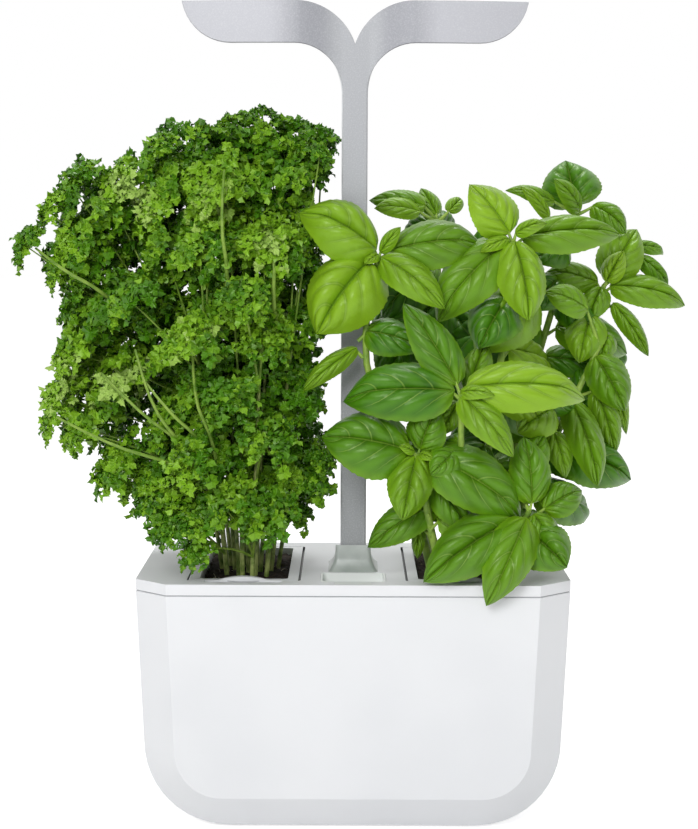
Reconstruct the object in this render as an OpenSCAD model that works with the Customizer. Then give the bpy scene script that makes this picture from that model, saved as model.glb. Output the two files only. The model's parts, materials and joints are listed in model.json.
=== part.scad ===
// Countertop hydroponic garden: a white water pot, a lift-off deck with two
// planted cartridges, and a sprout-shaped lamp on a mast that slides in the deck.
// Millimetres. X runs to the right, Y to the back, Z up. The origin is on the
// surface that the pot stands on, under the middle of the pot.

/* [Pot] */
// Width of the pot at its rim
pot_w = 290; // [280:1:310]
// Depth of the pot, front to back
pot_d = 180; // [176:1:200]
// Height of the pot, from its underside to its rim
pot_h = 159.5; // [150:0.5:190]
// How far each side leans in on its way down
side_lean = 5; // [2:0.5:8]
// Radius of the two round lower corners
corner_r = 57; // [40:1:60]
// Width of the slanted border round the front face
front_slant = 22; // [16:1:26]
// How much higher the front border stands at the foot than it is wide at the sides
border_rise = 2; // [0:0.5:4]
// Width of the slanted border round the back face
back_slant = 9; // [5:1:14]
// Thickness of the pot's walls
pot_wall = 3; // [2:0.25:4]
// How far the rubber pads stand below the pot
pad_drop = 1.5; // [1:0.5:3]
// Radius of a rubber pad
pad_r = 9; // [6:0.5:11]

/* [Deck] */
// Height of the deck's visible rim
deck_rim = 8; // [6.5:0.5:12]
// Thickness of the deck's top plate
deck_plate = 2.5; // [2:0.25:3.5]
// Thickness of the deck's rim wall
deck_wall = 3; // [2:0.25:4]
// How far the deck's skirt dips into the pot
skirt_drop = 7; // [4:0.5:12]
// Thickness of the skirt
skirt_wall = 2; // [1.5:0.25:3]
// Width of the shadow line between the deck and the pot
seam = 0.8; // [0.4:0.1:1.5]

/* [Cartridges] */
// Width of a cartridge's flange
flange_w = 73; // [70:1:76]
// Length of a cartridge's flange, front to back
flange_l = 142; // [136:1:146]
// Distance from the middle of the deck to a flange's near edge
flange_x = 36.5; // [35:0.5:40]
// Width of the dark slit round a flange
flange_slit = 1; // [0.6:0.1:1.5]
// How much wider the gap is on the side of the mast
inner_slit = 0.6; // [0:0.1:1]
// Thickness of a flange
flange_t = 2.5; // [2:0.25:3.5]
// Width of a planting opening
soil_w = 59; // [54:1:61]
// Length of a planting opening
soil_l = 130; // [120:1:132]
// Depth of a basket below the deck's top
basket_h = 68; // [60:1:80]
// Thickness of a basket's walls
basket_wall = 1.6; // [1.2:0.1:2]
// Thickness of a pod's walls
pod_wall = 1.2; // [1:0.1:1.6]
// Height of a pod
pod_h = 58; // [50:1:60]
// Room between a pod and its basket
pod_gap = 0.3; // [0.2:0.1:0.6]
// Radius of a felt wick
wick_r = 4; // [3:0.5:6]
// Height of the raised finger lip at a flange's front
lip_h = 2.6; // [1.5:0.1:3]
// Half the width of the finger lip
lip_half = 16; // [10:1:18]

/* [Filling and water level] */
// Width of the filling recess
fill_w = 44; // [38:1:48]
// Length of the filling recess, front to back
fill_l = 36; // [30:1:36]
// Distance from the pot's front to the recess
fill_from_front = 13; // [13:0.5:16]
// Depth of the filling recess
fill_depth = 10; // [9:0.5:14]
// Wall of the filling recess
fill_wall = 1.5; // [1.2:0.1:2]
// Size of the float along each side
float_side = 20; // [16:1:22]
// Height of the float
float_h = 14; // [10:1:18]
// How far the float rises from empty to full
float_travel = 74; // [50:1:78]

/* [Lamp] */
// Height of the lamp's top above the table, mast as in the photograph
lamp_top = 553; // [540:1:570]
// Height of a wing, top to underside
wing_h = 28; // [24:1:32]
// Distance from the mast to a wing's tip
wing_reach = 116; // [108:1:124]
// Radius of the bend on the upper side of an arm
bend_out = 41; // [39:1:46]
// Radius of the bend on the underside of an arm
bend_in = 32; // [28:1:36]
// Radius of the round under a wing's tip, as a share of the wing's height
tip_round = 1.2; // [0.9:0.05:1.25]
// Slope where a wing's tip meets its top, in degrees
tip_slope = 77; // [60:1:78]
// How far the silver front hangs below the rest of a wing
lip_drop = 6; // [4:0.5:8]
// Width of the mast's silver front
mast_w = 16.5; // [15:0.5:18]
// Depth of the mast
mast_d = 31; // [28:1:34]
// Distance from the pot's front to the mast's middle
mast_from_front = 75; // [74:0.5:77]
// Wall of the lamp's shells
lamp_wall = 2; // [1.6:0.1:2.4]
// How far a wing stands forward of the mast
wing_front = 7; // [4:1:10]
// How far a wing stands behind the mast
wing_back = 18; // [10:1:20]
// How much wider the rear cover is than the silver front, each side
cover_edge = 0.6; // [0.4:0.1:1]
// How far the lamp slides down from its place in the photograph
lamp_down = 30; // [10:1:32]
// Room between the mast and its collar
mast_gap = 0.35; // [0.2:0.05:0.5]

/* [Collar] */
// Height of the collar above the deck
collar_h = 18.5; // [14:0.5:24]
// How much lower the collar is at its back
collar_rake = 6; // [0:0.5:8]
// Half the collar's width at its top
collar_top = 12; // [11.5:0.5:14]
// Half the collar's width at its foot
collar_foot = 17; // [15:0.5:18]
// How far the collar's foot stands forward of the mast's front
collar_toe = 8.5; // [7:0.5:9]

/* [Hidden] */
$fn = 48;
tiny = 0.01;
through = 1; // how far a cut runs past the face that it opens

// Heights
rim_z = pad_drop + pot_h;
deck_top = rim_z + deck_rim;
plate_z = deck_top - deck_plate;
floor_z = pad_drop + pot_wall;
wing_z = lamp_top - wing_h;
under_z = wing_z + lip_drop;
tip_r = tip_round * wing_h;

// Fits
seat_gap = 0.15;
skirt_gap = 0.5;
slide_gap = 0.4;

// Mast and well
mast_mid = mast_from_front - pot_d / 2;
mast_front = mast_mid - mast_d / 2;
mast_back = mast_mid + mast_d / 2;
cover_w = mast_w + 2 * cover_edge;
bore_w = cover_w + 2 * mast_gap;
bore_d = mast_d + 2 * mast_gap;
glide_t = 0.6;
glide_h = 14;
well_w = bore_w + 2 * glide_t;
well_d = bore_d + 2 * glide_t;
well_wall = 2;
well_floor = floor_z + 6.5;
cap_h = 2;
mast_foot = well_floor + lamp_down;
seam_y = mast_mid + 5;

white = [0.93, 0.94, 0.95];
frost = [0.66, 0.71, 0.67, 0.8];
silver = [0.72, 0.73, 0.75];
dark = [0.16, 0.16, 0.17];

// ---- outlines ----

// Points along a round stretch
function arc(x, y, r, from, to, steps = 12) =
  [for (i = [0:steps]) let (a = from + (to - from) * i / steps) [x + r * cos(a), y + r * sin(a)]];

function smooth(t) = t <= 0 ? 0 : t >= 1 ? 1 : t * t * (3 - 2 * t);

// Plan of the pot and deck, set in by e all round
function plan(e) =
  let (x = pot_w / 2 - e, y = pot_d / 2 - e, f = front_slant - e * (2 - sqrt(2)), b = back_slant - e * (2 - sqrt(2)))
  [[-x + f, -y], [x - f, -y], [x, -y + f], [x, y - b], [x - b, y], [-x + b, y], [-x, y - b], [-x, -y + f]];

// U-shaped front view of the pot, set in by e at its sides and by e + up at its foot
function u_ring(e, y, top, up = 0) =
  let (rim = pot_w / 2 - e, foot = rim - side_lean, r = corner_r - 1.15 * e, z = e + up + r)
  [for (p = concat([[-rim, top]], arc(-foot + r, z, r, 180, 270), arc(foot - r, z, r, 270, 360), [[rim, top]]))
    [p[0], y, p[1]]];

// Rounded rectangle, as points
function round_box(w, l, r, steps = 5) = concat(
  arc(w / 2 - r, l / 2 - r, r, 0, 90, steps), arc(-w / 2 + r, l / 2 - r, r, 90, 180, steps),
  arc(-w / 2 + r, -l / 2 + r, r, 180, 270, steps), arc(w / 2 - r, -l / 2 + r, r, 270, 360, steps));

// A solid skinned over rings that have the same number of points
module loft(rings) {
  n = len(rings[0]);
  m = len(rings);
  polyhedron(
    points = [for (r = rings) each r],
    faces = concat(
      [[for (i = [0:n - 1]) i]],
      [[for (i = [n - 1:-1:0]) (m - 1) * n + i]],
      [for (j = [0:m - 2], i = [0:n - 1])
        let (a = j * n + i, b = j * n + (i + 1) % n)
        each [[a, a + n, b + n], [a, b + n, b]]]));
}

module plate(w, l, t, r) linear_extrude(t) polygon(round_box(w, l, r));

module left_and_right() {
  children();
  mirror([1, 0, 0]) children();
}

// ---- pot ----

// The pot's body, set in by t all round
module tub(t, top) {
  k = t * (sqrt(2) - 1);
  y = pot_d / 2;
  loft([
    u_ring(back_slant + k, y - t, top), u_ring(t, y - back_slant - k, top),
    u_ring(t, -y + front_slant + k, top), u_ring(front_slant + k, -y + t, top, border_rise)]);
}

pad_x = pot_w / 2 - side_lean - corner_r - pad_r;
pad_front = -pot_d / 2 + front_slant + pad_r + 5;
pad_back = pot_d / 2 - back_slant - pad_r - 5;
pad_sink = 1;

module at_pads() {
  for (x = [-pad_x, pad_x], y = [pad_front, pad_back]) translate([x, y, 0]) children();
}

module outer_pot() {
  color(white) difference() {
    translate([0, 0, pad_drop]) tub(0, pot_h);
    translate([0, 0, pad_drop]) tub(pot_wall, pot_h + through);
    at_pads() translate([0, 0, pad_drop - through]) cylinder(r = pad_r + seat_gap, h = pad_sink + through);
  }
}

module foot_pads() {
  color(dark) at_pads() {
    cylinder(r1 = pad_r - 0.8, r2 = pad_r, h = 0.8);
    translate([0, 0, 0.8]) cylinder(r = pad_r, h = pad_drop + pad_sink - 0.8);
  }
}

// ---- deck ----

cart_x = flange_x + flange_w / 2;
cart_y = -1;
hole_w = flange_w + 2 * flange_slit + inner_slit;
hole_l = flange_l + 2 * flange_slit;
basket_w = soil_w + 2 * basket_wall;
basket_l = soil_l + 2 * basket_wall;
ledge_t = 2.5;
ledge_z = deck_top - flange_t - ledge_t;
frame_t = 2;
fill_y = -pot_d / 2 + fill_from_front + fill_l / 2;
window_w = 24;
window_l = 7;
window_y = -pot_d / 2 + 7.2;
window_flange = 1.5;
scoop_half = 26;
scoop_l = 7;
scoop_t = 1.2;

// The middle of each cartridge's hole, a little nearer to the mast than the cartridge
module at_holes() for (s = [-1, 1]) translate([s * (cart_x - inner_slit / 2), cart_y, 0]) children();

// A slab with the deck's own outline
module deck_slab(e, z, h) translate([0, 0, z]) linear_extrude(h) polygon(plan(e));

module deck_cover() {
  skirt_e = pot_wall + skirt_gap;
  color(white) difference() {
    union() {
      difference() {
        union() {
          deck_slab(0, rim_z + seam, deck_rim - seam);
          deck_slab(seam, rim_z, seam + tiny);
        }
        deck_slab(deck_wall, rim_z - through, deck_rim - deck_plate + through);
      }
      difference() {
        deck_slab(skirt_e, rim_z - skirt_drop, skirt_drop + deck_rim - deck_plate + tiny);
        deck_slab(skirt_e + skirt_wall, rim_z - skirt_drop - through, skirt_drop + deck_rim + through);
      }
      // the trough that a cartridge's flange lies in
      at_holes() translate([0, 0, ledge_z])
        plate(hole_w + 2 * frame_t, hole_l + 2 * frame_t, plate_z - ledge_z + tiny, 4);
    }
    at_holes() translate([0, 0, deck_top - flange_t]) plate(hole_w, hole_l, flange_t + through, 2);
    for (x = [-cart_x, cart_x]) translate([x, cart_y, 0]) {
      translate([0, 0, ledge_z - through])
        plate(basket_w + 2 * slide_gap, basket_l + 2 * slide_gap, ledge_t + 2 * through, 4);
      // the finger scoop in front of the lip
      translate([0, -hole_l / 2 - scoop_l / 2 + 1, deck_top - scoop_t]) plate(2 * scoop_half, scoop_l + 2, scoop_t + through, 3);
    }
    // for the well, the filling recess and the level window
    translate([0, mast_mid, plate_z - through])
      plate(well_w + 2 * well_wall + 2 * seat_gap, well_d + 2 * well_wall + 2 * seat_gap, deck_plate + 2 * through, 3);
    translate([0, fill_y, plate_z - through]) plate(fill_w, fill_l, deck_plate + 2 * through, 3);
    translate([0, window_y, plate_z - through])
      plate(window_w + 2 * seat_gap, window_l + 2 * seat_gap, deck_plate + 2 * through, 1);
    at_well_screws() translate([0, 0, plate_z - through]) cylinder(r = screw_r + 0.2, h = deck_plate + 2 * through);
    // the skirt is open where the level window sits
    translate([-window_w / 2 - 4, -pot_d / 2 + deck_wall + tiny, rim_z - skirt_drop - through])
      cube([window_w + 8, 9, plate_z - rim_z + skirt_drop + through]);
  }
}

// ---- collar and well ----

screw_r = 1.2;
well_head_r = 1.9;
screw_x = 7;
screw_y = well_d / 2 + well_wall + well_head_r + seat_gap;
screw_bite = 1.8;

module at_well_screws() {
  for (x = [-screw_x, screw_x], y = [-screw_y, screw_y]) translate([x, mast_mid + y, 0]) children();
}

collar_lip = 3.2; // how far the collar's top stands forward of the mast
collar_round = 3;

// Plan of the collar at a share t of its height: straight-sided above, flared to the foot
function collar_ring(t) =
  let (
    f = pow(1 - t, 3.2),
    x = collar_top + (collar_foot - collar_top) * f,
    y = mast_d / 2 + collar_lip + (collar_toe - collar_lip) * f)
  [for (p = round_box(2 * x, 2 * y, collar_round, 3))
    [p[0], p[1], t * (collar_h - collar_rake * (0.5 + p[1] / (mast_d + 2 * collar_lip)))]];

module mast_collar() {
  color(frost) translate([0, mast_mid, deck_top]) difference() {
    loft([for (t = [0, 0.06, 0.14, 0.24, 0.36, 0.5, 0.75, 0.96]) collar_ring(t)]);
    translate([-bore_w / 2, -bore_d / 2, -through]) cube([bore_w, bore_d, collar_h + 2 * through]);
    for (x = [-screw_x, screw_x], y = [-screw_y, screw_y]) translate([x, y, -through])
      cylinder(r = screw_r + 0.05, h = screw_bite + 0.4 + through);
  }
}

well_flange_t = 2.5;

module mast_well() {
  outer_w = well_w + 2 * well_wall;
  outer_d = well_d + 2 * well_wall;
  color(white) translate([0, mast_mid, 0]) difference() {
    union() {
      translate([0, 0, well_floor - well_wall]) plate(outer_w, outer_d, deck_top - well_floor + well_wall, 3);
      translate([0, 0, plate_z - well_flange_t]) plate(outer_w + 4, 2 * (screw_y + well_head_r + 0.5), well_flange_t, 3);
    }
    translate([-well_w / 2, -well_d / 2, well_floor]) cube([well_w, well_d, deck_top]);
    for (x = [-screw_x, screw_x], y = [-screw_y, screw_y])
      translate([x, y, plate_z - well_flange_t - through]) cylinder(r = screw_r + 0.2, h = well_flange_t + 2 * through);
  }
}

// Low-friction pads that line the top of the well
module well_glides() {
  z = deck_top - glide_h - 1;
  color(dark) translate([0, mast_mid, z]) {
    for (s = [-1, 1]) {
      translate([s * (bore_w / 2 + glide_t / 2) - glide_t / 2, -8, 0]) cube([glide_t, 16, glide_h]);
      translate([-5, s * (bore_d / 2 + glide_t / 2) - glide_t / 2, 0]) cube([10, glide_t, glide_h]);
    }
  }
}

module screw(length, head_r, head_t) {
  cylinder(r = screw_r, h = length);
  translate([0, 0, -head_t]) difference() {
    cylinder(r = head_r, h = head_t);
    translate([0, 0, -through]) cylinder(r = head_r * 0.45, h = through + 0.7, $fn = 6);
  }
}

module well_screws() {
  length = well_flange_t + deck_plate + screw_bite;
  color(silver) at_well_screws() translate([0, 0, plate_z - well_flange_t]) screw(length, well_head_r, 1.5);
}

// ---- filling recess, level window and float ----

funnel_flange = 1.5;
drain_w = 26;
drain_l = 16;

module fill_funnel() {
  w = fill_w - 2 * seat_gap;
  l = fill_l - 2 * seat_gap;
  z = deck_top - fill_depth;
  color(frost) translate([0, fill_y, 0]) difference() {
    union() {
      translate([0, 0, z]) plate(w, l, fill_depth, 3);
      translate([0, 0, plate_z - funnel_flange]) plate(w + 8, l + 2 * funnel_flange, funnel_flange, 4);
    }
    translate([0, 0, z + fill_wall]) plate(w - 2 * fill_wall, l - 2 * fill_wall, fill_depth, 2);
    translate([0, 0, z - through]) plate(drain_w, drain_l, fill_wall + 2 * through, 3);
  }
}

module level_window() {
  color(frost) translate([0, window_y, 0]) {
    translate([0, 0, plate_z]) plate(window_w, window_l, deck_plate, 1);
    translate([0, 0, plate_z - window_flange]) plate(window_w + 6, window_l - 0.6, window_flange, 1);
  }
}

float_gap = 1;
guide_wall = 1.6;
guide_in = float_side + 2 * float_gap;
guide_out = guide_in + 2 * guide_wall;
float_y = -pot_d / 2 + pot_wall + 2 + guide_out / 2;
guide_z = floor_z + 24;
float_z = guide_z + guide_wall;
guide_h = float_travel + float_h + 2 * guide_wall + 2;
strap_t = 2.2;
stem_t = 1.6;
stem_y = -guide_in / 2 + float_gap + stem_t / 2;

// An open cage that the float rises in, hung from the level window by two straps
module float_guide() {
  color(white) translate([0, float_y, 0]) {
    difference() {
      translate([-guide_out / 2, -guide_out / 2, guide_z]) cube([guide_out, guide_out, guide_h]);
      translate([-guide_in / 2, -guide_in / 2, float_z]) cube([guide_in, guide_in, guide_h]);
      translate([-guide_in / 2 + 3, -guide_in / 2 + 3, guide_z - through])
        cube([guide_in - 6, guide_in - 6, guide_wall + 2 * through]);
      for (i = [0:3]) translate([0, 0, float_z + 8 + i * (guide_h - 12) / 4]) {
        translate([-guide_out, -6, 0]) cube([2 * guide_out, 12, (guide_h - 12) / 4 - 4]);
        translate([-6, -guide_out, 0]) cube([12, 2 * guide_out, (guide_h - 12) / 4 - 4]);
      }
    }
    for (s = [-1, 1]) translate([s * (guide_out - strap_t) / 2 - strap_t / 2, -guide_out / 2, guide_z + guide_h - 6])
      cube([strap_t, 4, plate_z - window_flange - guide_z - guide_h + 6]);
  }
}

module water_float() {
  color([0.85, 0.35, 0.25]) translate([0, float_y, float_z]) {
    plate(float_side, float_side, float_h, 3);
    translate([-6, stem_y - stem_t / 2, float_h - tiny])
      cube([12, stem_t, plate_z - window_flange - float_z - float_h - float_travel + tiny]);
  }
}

// ---- cartridges ----

rib_count = 7;
pod_w = soil_w - 2 * pod_gap;
pod_l = soil_l - 2 * pod_gap;
basket_z = deck_top - basket_h;
pod_z = basket_z + basket_wall;
soil_top = pod_z + pod_h - 2;

module basket() {
  slot_w = 9;
  difference() {
    union() {
      translate([0, 0, deck_top - flange_t]) plate(flange_w, flange_l, flange_t, 2);
      translate([0, 0, basket_z]) plate(basket_w, basket_l, basket_h - flange_t + tiny, 4);
      // the raised finger lip: a slice of a cylinder with a lens-shaped plan
      intersection() {
        translate([0, -flange_l / 2 + lip_back, deck_top - lip_under]) linear_extrude(lip_h + lip_under) intersection() {
          translate([0, lens_r - lip_back - lip_nose]) circle(r = lens_r, $fn = 160);
          translate([-lip_half, -lip_back - lip_nose]) square([2 * lip_half, lip_back + lip_nose]);
        }
        translate([0, -flange_l / 2 - 10, deck_top + lip_h - lip_r]) rotate([-90, 0, 0])
          cylinder(r = lip_r, h = 20, $fn = 160);
      }
    }
    translate([0, 0, pod_z]) plate(soil_w, soil_l, basket_h + lip_h, 3);
    // root slots along both sides, and a wick hole in the floor
    for (i = [0:rib_count - 1]) translate([-basket_w, (i - (rib_count - 1) / 2) * soil_l / rib_count - slot_w / 2, basket_z + 8])
      cube([2 * basket_w, slot_w, basket_h - flange_t - ledge_t - 14]);
    translate([0, 0, basket_z - through]) cylinder(r = wick_r + 0.6, h = basket_wall + 2 * through);
    for (y = [-40, -20, 20, 40]) translate([-18, y - 2, basket_z - through]) cube([36, 4, basket_wall + 2 * through]);
  }
}

lip_back = 3; // how far the lip reaches back over the flange
lip_nose = 2.5; // and forward of it
lip_under = 0.7; // and down into the scoop
lip_r = (lip_half * lip_half + lip_h * lip_h) / (2 * lip_h);
lens_r = (lip_half * lip_half + pow(lip_back + lip_nose, 2)) / (2 * (lip_back + lip_nose));

module pod() {
  difference() {
    translate([0, 0, pod_z]) plate(pod_w, pod_l, pod_h, 3);
    translate([0, 0, pod_z + pod_wall]) plate(pod_w - 2 * pod_wall, pod_l - 2 * pod_wall, pod_h, 2);
    translate([0, 0, pod_z - through]) cylinder(r = wick_r + 0.3, h = pod_wall + 2 * through);
  }
}

module substrate() translate([0, 0, pod_z + pod_wall])
  plate(pod_w - 2 * pod_wall, pod_l - 2 * pod_wall, soil_top - pod_z - pod_wall, 2);

wick_foot = floor_z + 3;

module wick() translate([0, 0, wick_foot]) cylinder(r = wick_r, h = pod_z + pod_wall - wick_foot);

module basket_left() color(white) translate([-cart_x, cart_y, 0]) basket();
module basket_right() color(white) translate([cart_x, cart_y, 0]) basket();
module pod_left() color([0.3, 0.3, 0.28]) translate([-cart_x, cart_y, 0]) pod();
module pod_right() color([0.3, 0.3, 0.28]) translate([cart_x, cart_y, 0]) pod();
module substrate_left() color([0.13, 0.09, 0.06]) translate([-cart_x, cart_y, 0]) substrate();
module substrate_right() color([0.13, 0.09, 0.06]) translate([cart_x, cart_y, 0]) substrate();
module wick_left() color([0.8, 0.78, 0.7]) translate([-cart_x, cart_y, 0]) wick();
module wick_right() color([0.8, 0.78, 0.7]) translate([cart_x, cart_y, 0]) wick();

// ---- lamp ----

// Where the flat underside ends and the round below the tip begins
tip_rise = tip_r * (1 - cos(tip_slope));
tip_x = wing_reach - (wing_h - tip_rise) / tan(tip_slope) - tip_r * sin(tip_slope);

// Right half of the lamp's front view, from the notch to the mast's foot, with the
// underside of the wing raised by rise
function half_sprout(rise) =
  let (
    m = mast_w / 2,
    x0 = sqrt(bend_out * bend_out - pow(bend_out - wing_h, 2)),
    notch = atan2(bend_out - wing_h, -x0))
  concat(
    arc(x0, lamp_top - bend_out, bend_out, notch, 90, 16),
    [[wing_reach, lamp_top]],
    [for (i = [0:10]) let (a = tip_slope - 90 - tip_slope * i / 10, r = tip_r - rise * i / 10)
      [tip_x + r * cos(a), wing_z + tip_r + r * sin(a)]],
    [for (p = arc(m + bend_in, wing_z - bend_in, bend_in, 90, 180, 14)) [p[0], p[1] + rise * (p[1] - wing_z + bend_in) / bend_in]],
    [[m, mast_foot + cap_h]]);

module sprout(rise = 0) {
  half = half_sprout(rise);
  polygon(concat(half, [for (i = [len(half) - 1:-1:1]) [-half[i][0], half[i][1]]]));
}

// How far the wings stand out from the mast at x, front or back
function wing_bulge(x, full) =
  full * smooth((x - mast_w / 2) / bend_in) - 0.55 * (full + 6) * pow(max(0, (x - bend_in - mast_w / 2) / (wing_reach - bend_in - mast_w / 2)), 2);

module wing_plan() {
  bend_from = mast_w / 2;
  bend_to = bend_from + bend_in;
  far = wing_reach + 1;
  half = concat([bend_from], [for (i = [1:10]) bend_from + bend_in * i / 10], [for (i = [1:7]) bend_to + (far - bend_to) * i / 7]);
  xs = concat([for (i = [len(half) - 1:-1:0]) -half[i]], half);
  polygon(concat(
    [for (x = xs) [x, mast_front - wing_bulge(abs(x), wing_front)]],
    [for (i = [len(xs) - 1:-1:0]) [xs[i], mast_back + wing_bulge(abs(xs[i]), wing_back)]]));
}

// The lamp's outer form with its front view grown by e, cut back by t front and back
module lamp_form(e, t, rise = lip_drop) {
  intersection() {
    translate([0, lamp_span, 0]) rotate([90, 0, 0]) linear_extrude(2 * lamp_span) offset(delta = e) sprout(rise);
    translate([0, 0, mast_foot]) linear_extrude(lamp_top) offset(delta = -t) wing_plan();
  }
}

lamp_span = 90; // more than the lamp's depth, forward and back

// The front skin of the lamp, whose lower edge hangs below the rest
module front_skin() difference() {
  lamp_form(0, 0, 0);
  translate([0, 0, -through]) linear_extrude(lamp_top + 2 * through) offset(delta = -lamp_wall) wing_plan();
}

glass_x = 45;
glass_end = tip_x - 4;
glass_rim = 3;
board_t = 1.6;
tray_t = 1.2;
board_z = under_z + lamp_wall + tray_t + glass_rim;

module wing_area(margin) intersection() {
  offset(delta = -margin) wing_plan();
  translate([glass_x - margin + lamp_wall, -100]) square([glass_end - glass_x + 2 * (lamp_wall + 2 - margin), 200]);
}

module underside_opening() left_and_right()
  translate([0, 0, under_z - 2 * through]) linear_extrude(lamp_wall + 3 * through) intersection() {
    offset(delta = -lamp_wall - 3) wing_plan();
    translate([glass_x, -100]) square([glass_end - glass_x, 200]);
  }

// What is cut from both shells at the mast's lower end, which stays open
module mast_end() {
  translate([-mast_w / 2 + lamp_wall, mast_front + lamp_wall, mast_foot + cap_h - through])
    cube([mast_w - 2 * lamp_wall, mast_d - 2 * lamp_wall, lamp_wall + 2 * through]);
  translate([-mast_w, mast_front - 5, mast_foot - through]) cube([2 * mast_w, mast_d + 10, cap_h + through]);
}

board_post_x = [52, 74];
board_post_y = mast_mid - 8;
post_r = 2.8;
cover_screw_x = 66;
cover_screw_z = lamp_top - 9;
mast_screw_z = [mast_foot + 30, wing_z - 90];

module at_board_posts() for (s = [-1, 1], x = board_post_x) translate([s * x, board_post_y, 0]) children();

module at_cover_screws() {
  for (s = [-1, 1]) translate([s * cover_screw_x, 0, cover_screw_z]) children();
  for (z = mast_screw_z) translate([0, 0, z]) children();
}

module lamp_shell() {
  color(silver) difference() {
    union() {
      difference() {
        union() {
          lamp_form(0, 0);
          front_skin();
        }
        lamp_form(-lamp_wall, lamp_wall);
      }
      // posts for the boards and for the cover's screws
      at_board_posts() translate([0, 0, board_z + board_t]) cylinder(r = post_r, h = lamp_top - lamp_wall - board_z - board_t + 0.5);
      intersection() {
        at_cover_screws() translate([0, mast_front - wing_front, 0]) rotate([-90, 0, 0]) cylinder(r = 3, h = 60);
        lamp_form(-0.5, 0.5);
      }
    }
    translate([-2 * lamp_span, seam_y, -through]) cube([4 * lamp_span, 2 * lamp_span, 2 * lamp_top]);
    underside_opening();
    mast_end();
    at_board_posts() translate([0, 0, board_z]) cylinder(r = screw_r + 0.05, h = 9);
    at_cover_screws() translate([0, seam_y - 9, 0]) rotate([-90, 0, 0]) cylinder(r = screw_r + 0.05, h = 20);
  }
}

button_r = 5;
button_z = wing_z - 20;
jack_z = wing_z - 46;
jack_r = 4.4;
jack_bore = 2.75;
head_r = 2.3;

module lamp_cover() {
  color(white) difference() {
    union() {
      difference() {
        lamp_form(cover_edge, 0);
        lamp_form(-lamp_wall, lamp_wall);
      }
      intersection() {
        at_cover_screws() translate([0, seam_y, 0]) rotate([-90, 0, 0]) cylinder(r = 3.4, h = 60);
        lamp_form(-0.5, 0.5);
      }
    }
    translate([-2 * lamp_span, seam_y - 2 * lamp_span, -through]) cube([4 * lamp_span, 2 * lamp_span, 2 * lamp_top]);
    underside_opening();
    mast_end();
    // clearance and a sunk head for each screw
    at_cover_screws() translate([0, seam_y - 1, 0]) rotate([-90, 0, 0]) cylinder(r = screw_r + 0.2, h = 60);
    at_cover_screws() translate([0, seam_y + cover_screw_grip, 0]) rotate([-90, 0, 0]) cylinder(r = head_r + 0.3, h = 60);
    translate([0, mast_back - lamp_wall - through, button_z]) rotate([-90, 0, 0]) cylinder(r = button_r + 0.25, h = 30);
    translate([0, mast_back - lamp_wall - through, jack_z]) rotate([-90, 0, 0]) cylinder(r = jack_r + 0.1, h = 30);
  }
}

cover_screw_grip = 6;
cover_screw_bite = 8;
board_screw_l = 8;

module led_board() translate([0, 0, board_z]) difference() {
  linear_extrude(board_t) wing_area(lamp_wall + 1.2);
  for (x = board_post_x) translate([x, board_post_y, -through]) cylinder(r = screw_r + 0.3, h = board_t + 2 * through);
}

module diffuser() {
  translate([0, 0, under_z + lamp_wall]) {
    linear_extrude(tray_t) wing_area(lamp_wall + 0.8);
    translate([0, 0, tray_t - tiny]) linear_extrude(glass_rim + tiny) difference() {
      wing_area(lamp_wall + 0.8);
      wing_area(lamp_wall + 2.2);
    }
  }
}

module led_board_left() color([0.9, 0.9, 0.88]) mirror([1, 0, 0]) led_board();
module led_board_right() color([0.9, 0.9, 0.88]) led_board();
module diffuser_left() color(frost) mirror([1, 0, 0]) diffuser();
module diffuser_right() color(frost) diffuser();

led_front = 3;
led_behind = 8;
led_rows = [mast_mid - led_front, mast_mid + led_behind];
led_count = 6;
led_side = 3;
led_t = 0.8;
led_inset = 5;
led_outset = 7;

module led_chips() {
  color([0.95, 0.8, 0.3]) left_and_right()
    for (i = [0:led_count - 1], y = led_rows)
      translate([glass_x + led_inset + i * (glass_end - glass_x - led_inset - led_outset) / (led_count - 1), y, board_z - led_t])
        translate([-led_side / 2, -led_side / 2, 0]) cube([led_side, led_side, led_t]);
}

driver_w = 10;
driver_below = 26;
driver_above = 14;
driver_z = jack_z - driver_below;
driver_h = button_z - driver_z + driver_above;
driver_deep = 8;
driver_y = mast_front + driver_deep;
relay_z = [6, 16];
relay = [6, 3, 5];

// Upright board in the mast's top that carries the switch and the inlet
module driver_board() {
  color([0.1, 0.35, 0.2]) translate([-driver_w / 2, driver_y, driver_z]) {
    cube([driver_w, board_t, driver_h]);
    for (z = relay_z) translate([(driver_w - relay[0]) / 2, -relay[1], z]) cube([relay[0], relay[1] + tiny, relay[2]]);
  }
}

pin_r = 1.05;
pin_base_r = 1.6;
pin_length = 8;
socket_depth = 9;
pin_sink = 3;

module dc_inlet() {
  back = mast_back;
  front = driver_y + board_t;
  color(dark) translate([0, 0, jack_z]) difference() {
    union() {
      translate([-4.5, front, -5.5]) cube([9, back - lamp_wall - front, 11]);
      translate([0, back - lamp_wall - tiny, 0]) rotate([-90, 0, 0]) cylinder(r = jack_r, h = lamp_wall + tiny);
    }
    translate([0, back - socket_depth, 0]) rotate([-90, 0, 0]) cylinder(r = jack_bore, h = socket_depth + through);
    translate([0, back - socket_depth - pin_sink, 0]) rotate([-90, 0, 0]) cylinder(r = pin_base_r, h = pin_sink + through);
  }
}

// The centre pin of the inlet, on a thicker base that sits in the inlet's floor
module dc_pin() {
  color([0.8, 0.65, 0.3]) translate([0, mast_back - socket_depth, jack_z]) rotate([-90, 0, 0]) {
    translate([0, 0, -pin_sink]) cylinder(r = pin_base_r, h = pin_sink);
    translate([0, 0, -tiny]) cylinder(r = pin_r, h = pin_length + tiny);
  }
}

button_travel = 0.8;
stem_r = 1.6;
flange_y = mast_back - lamp_wall - 1;

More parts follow.
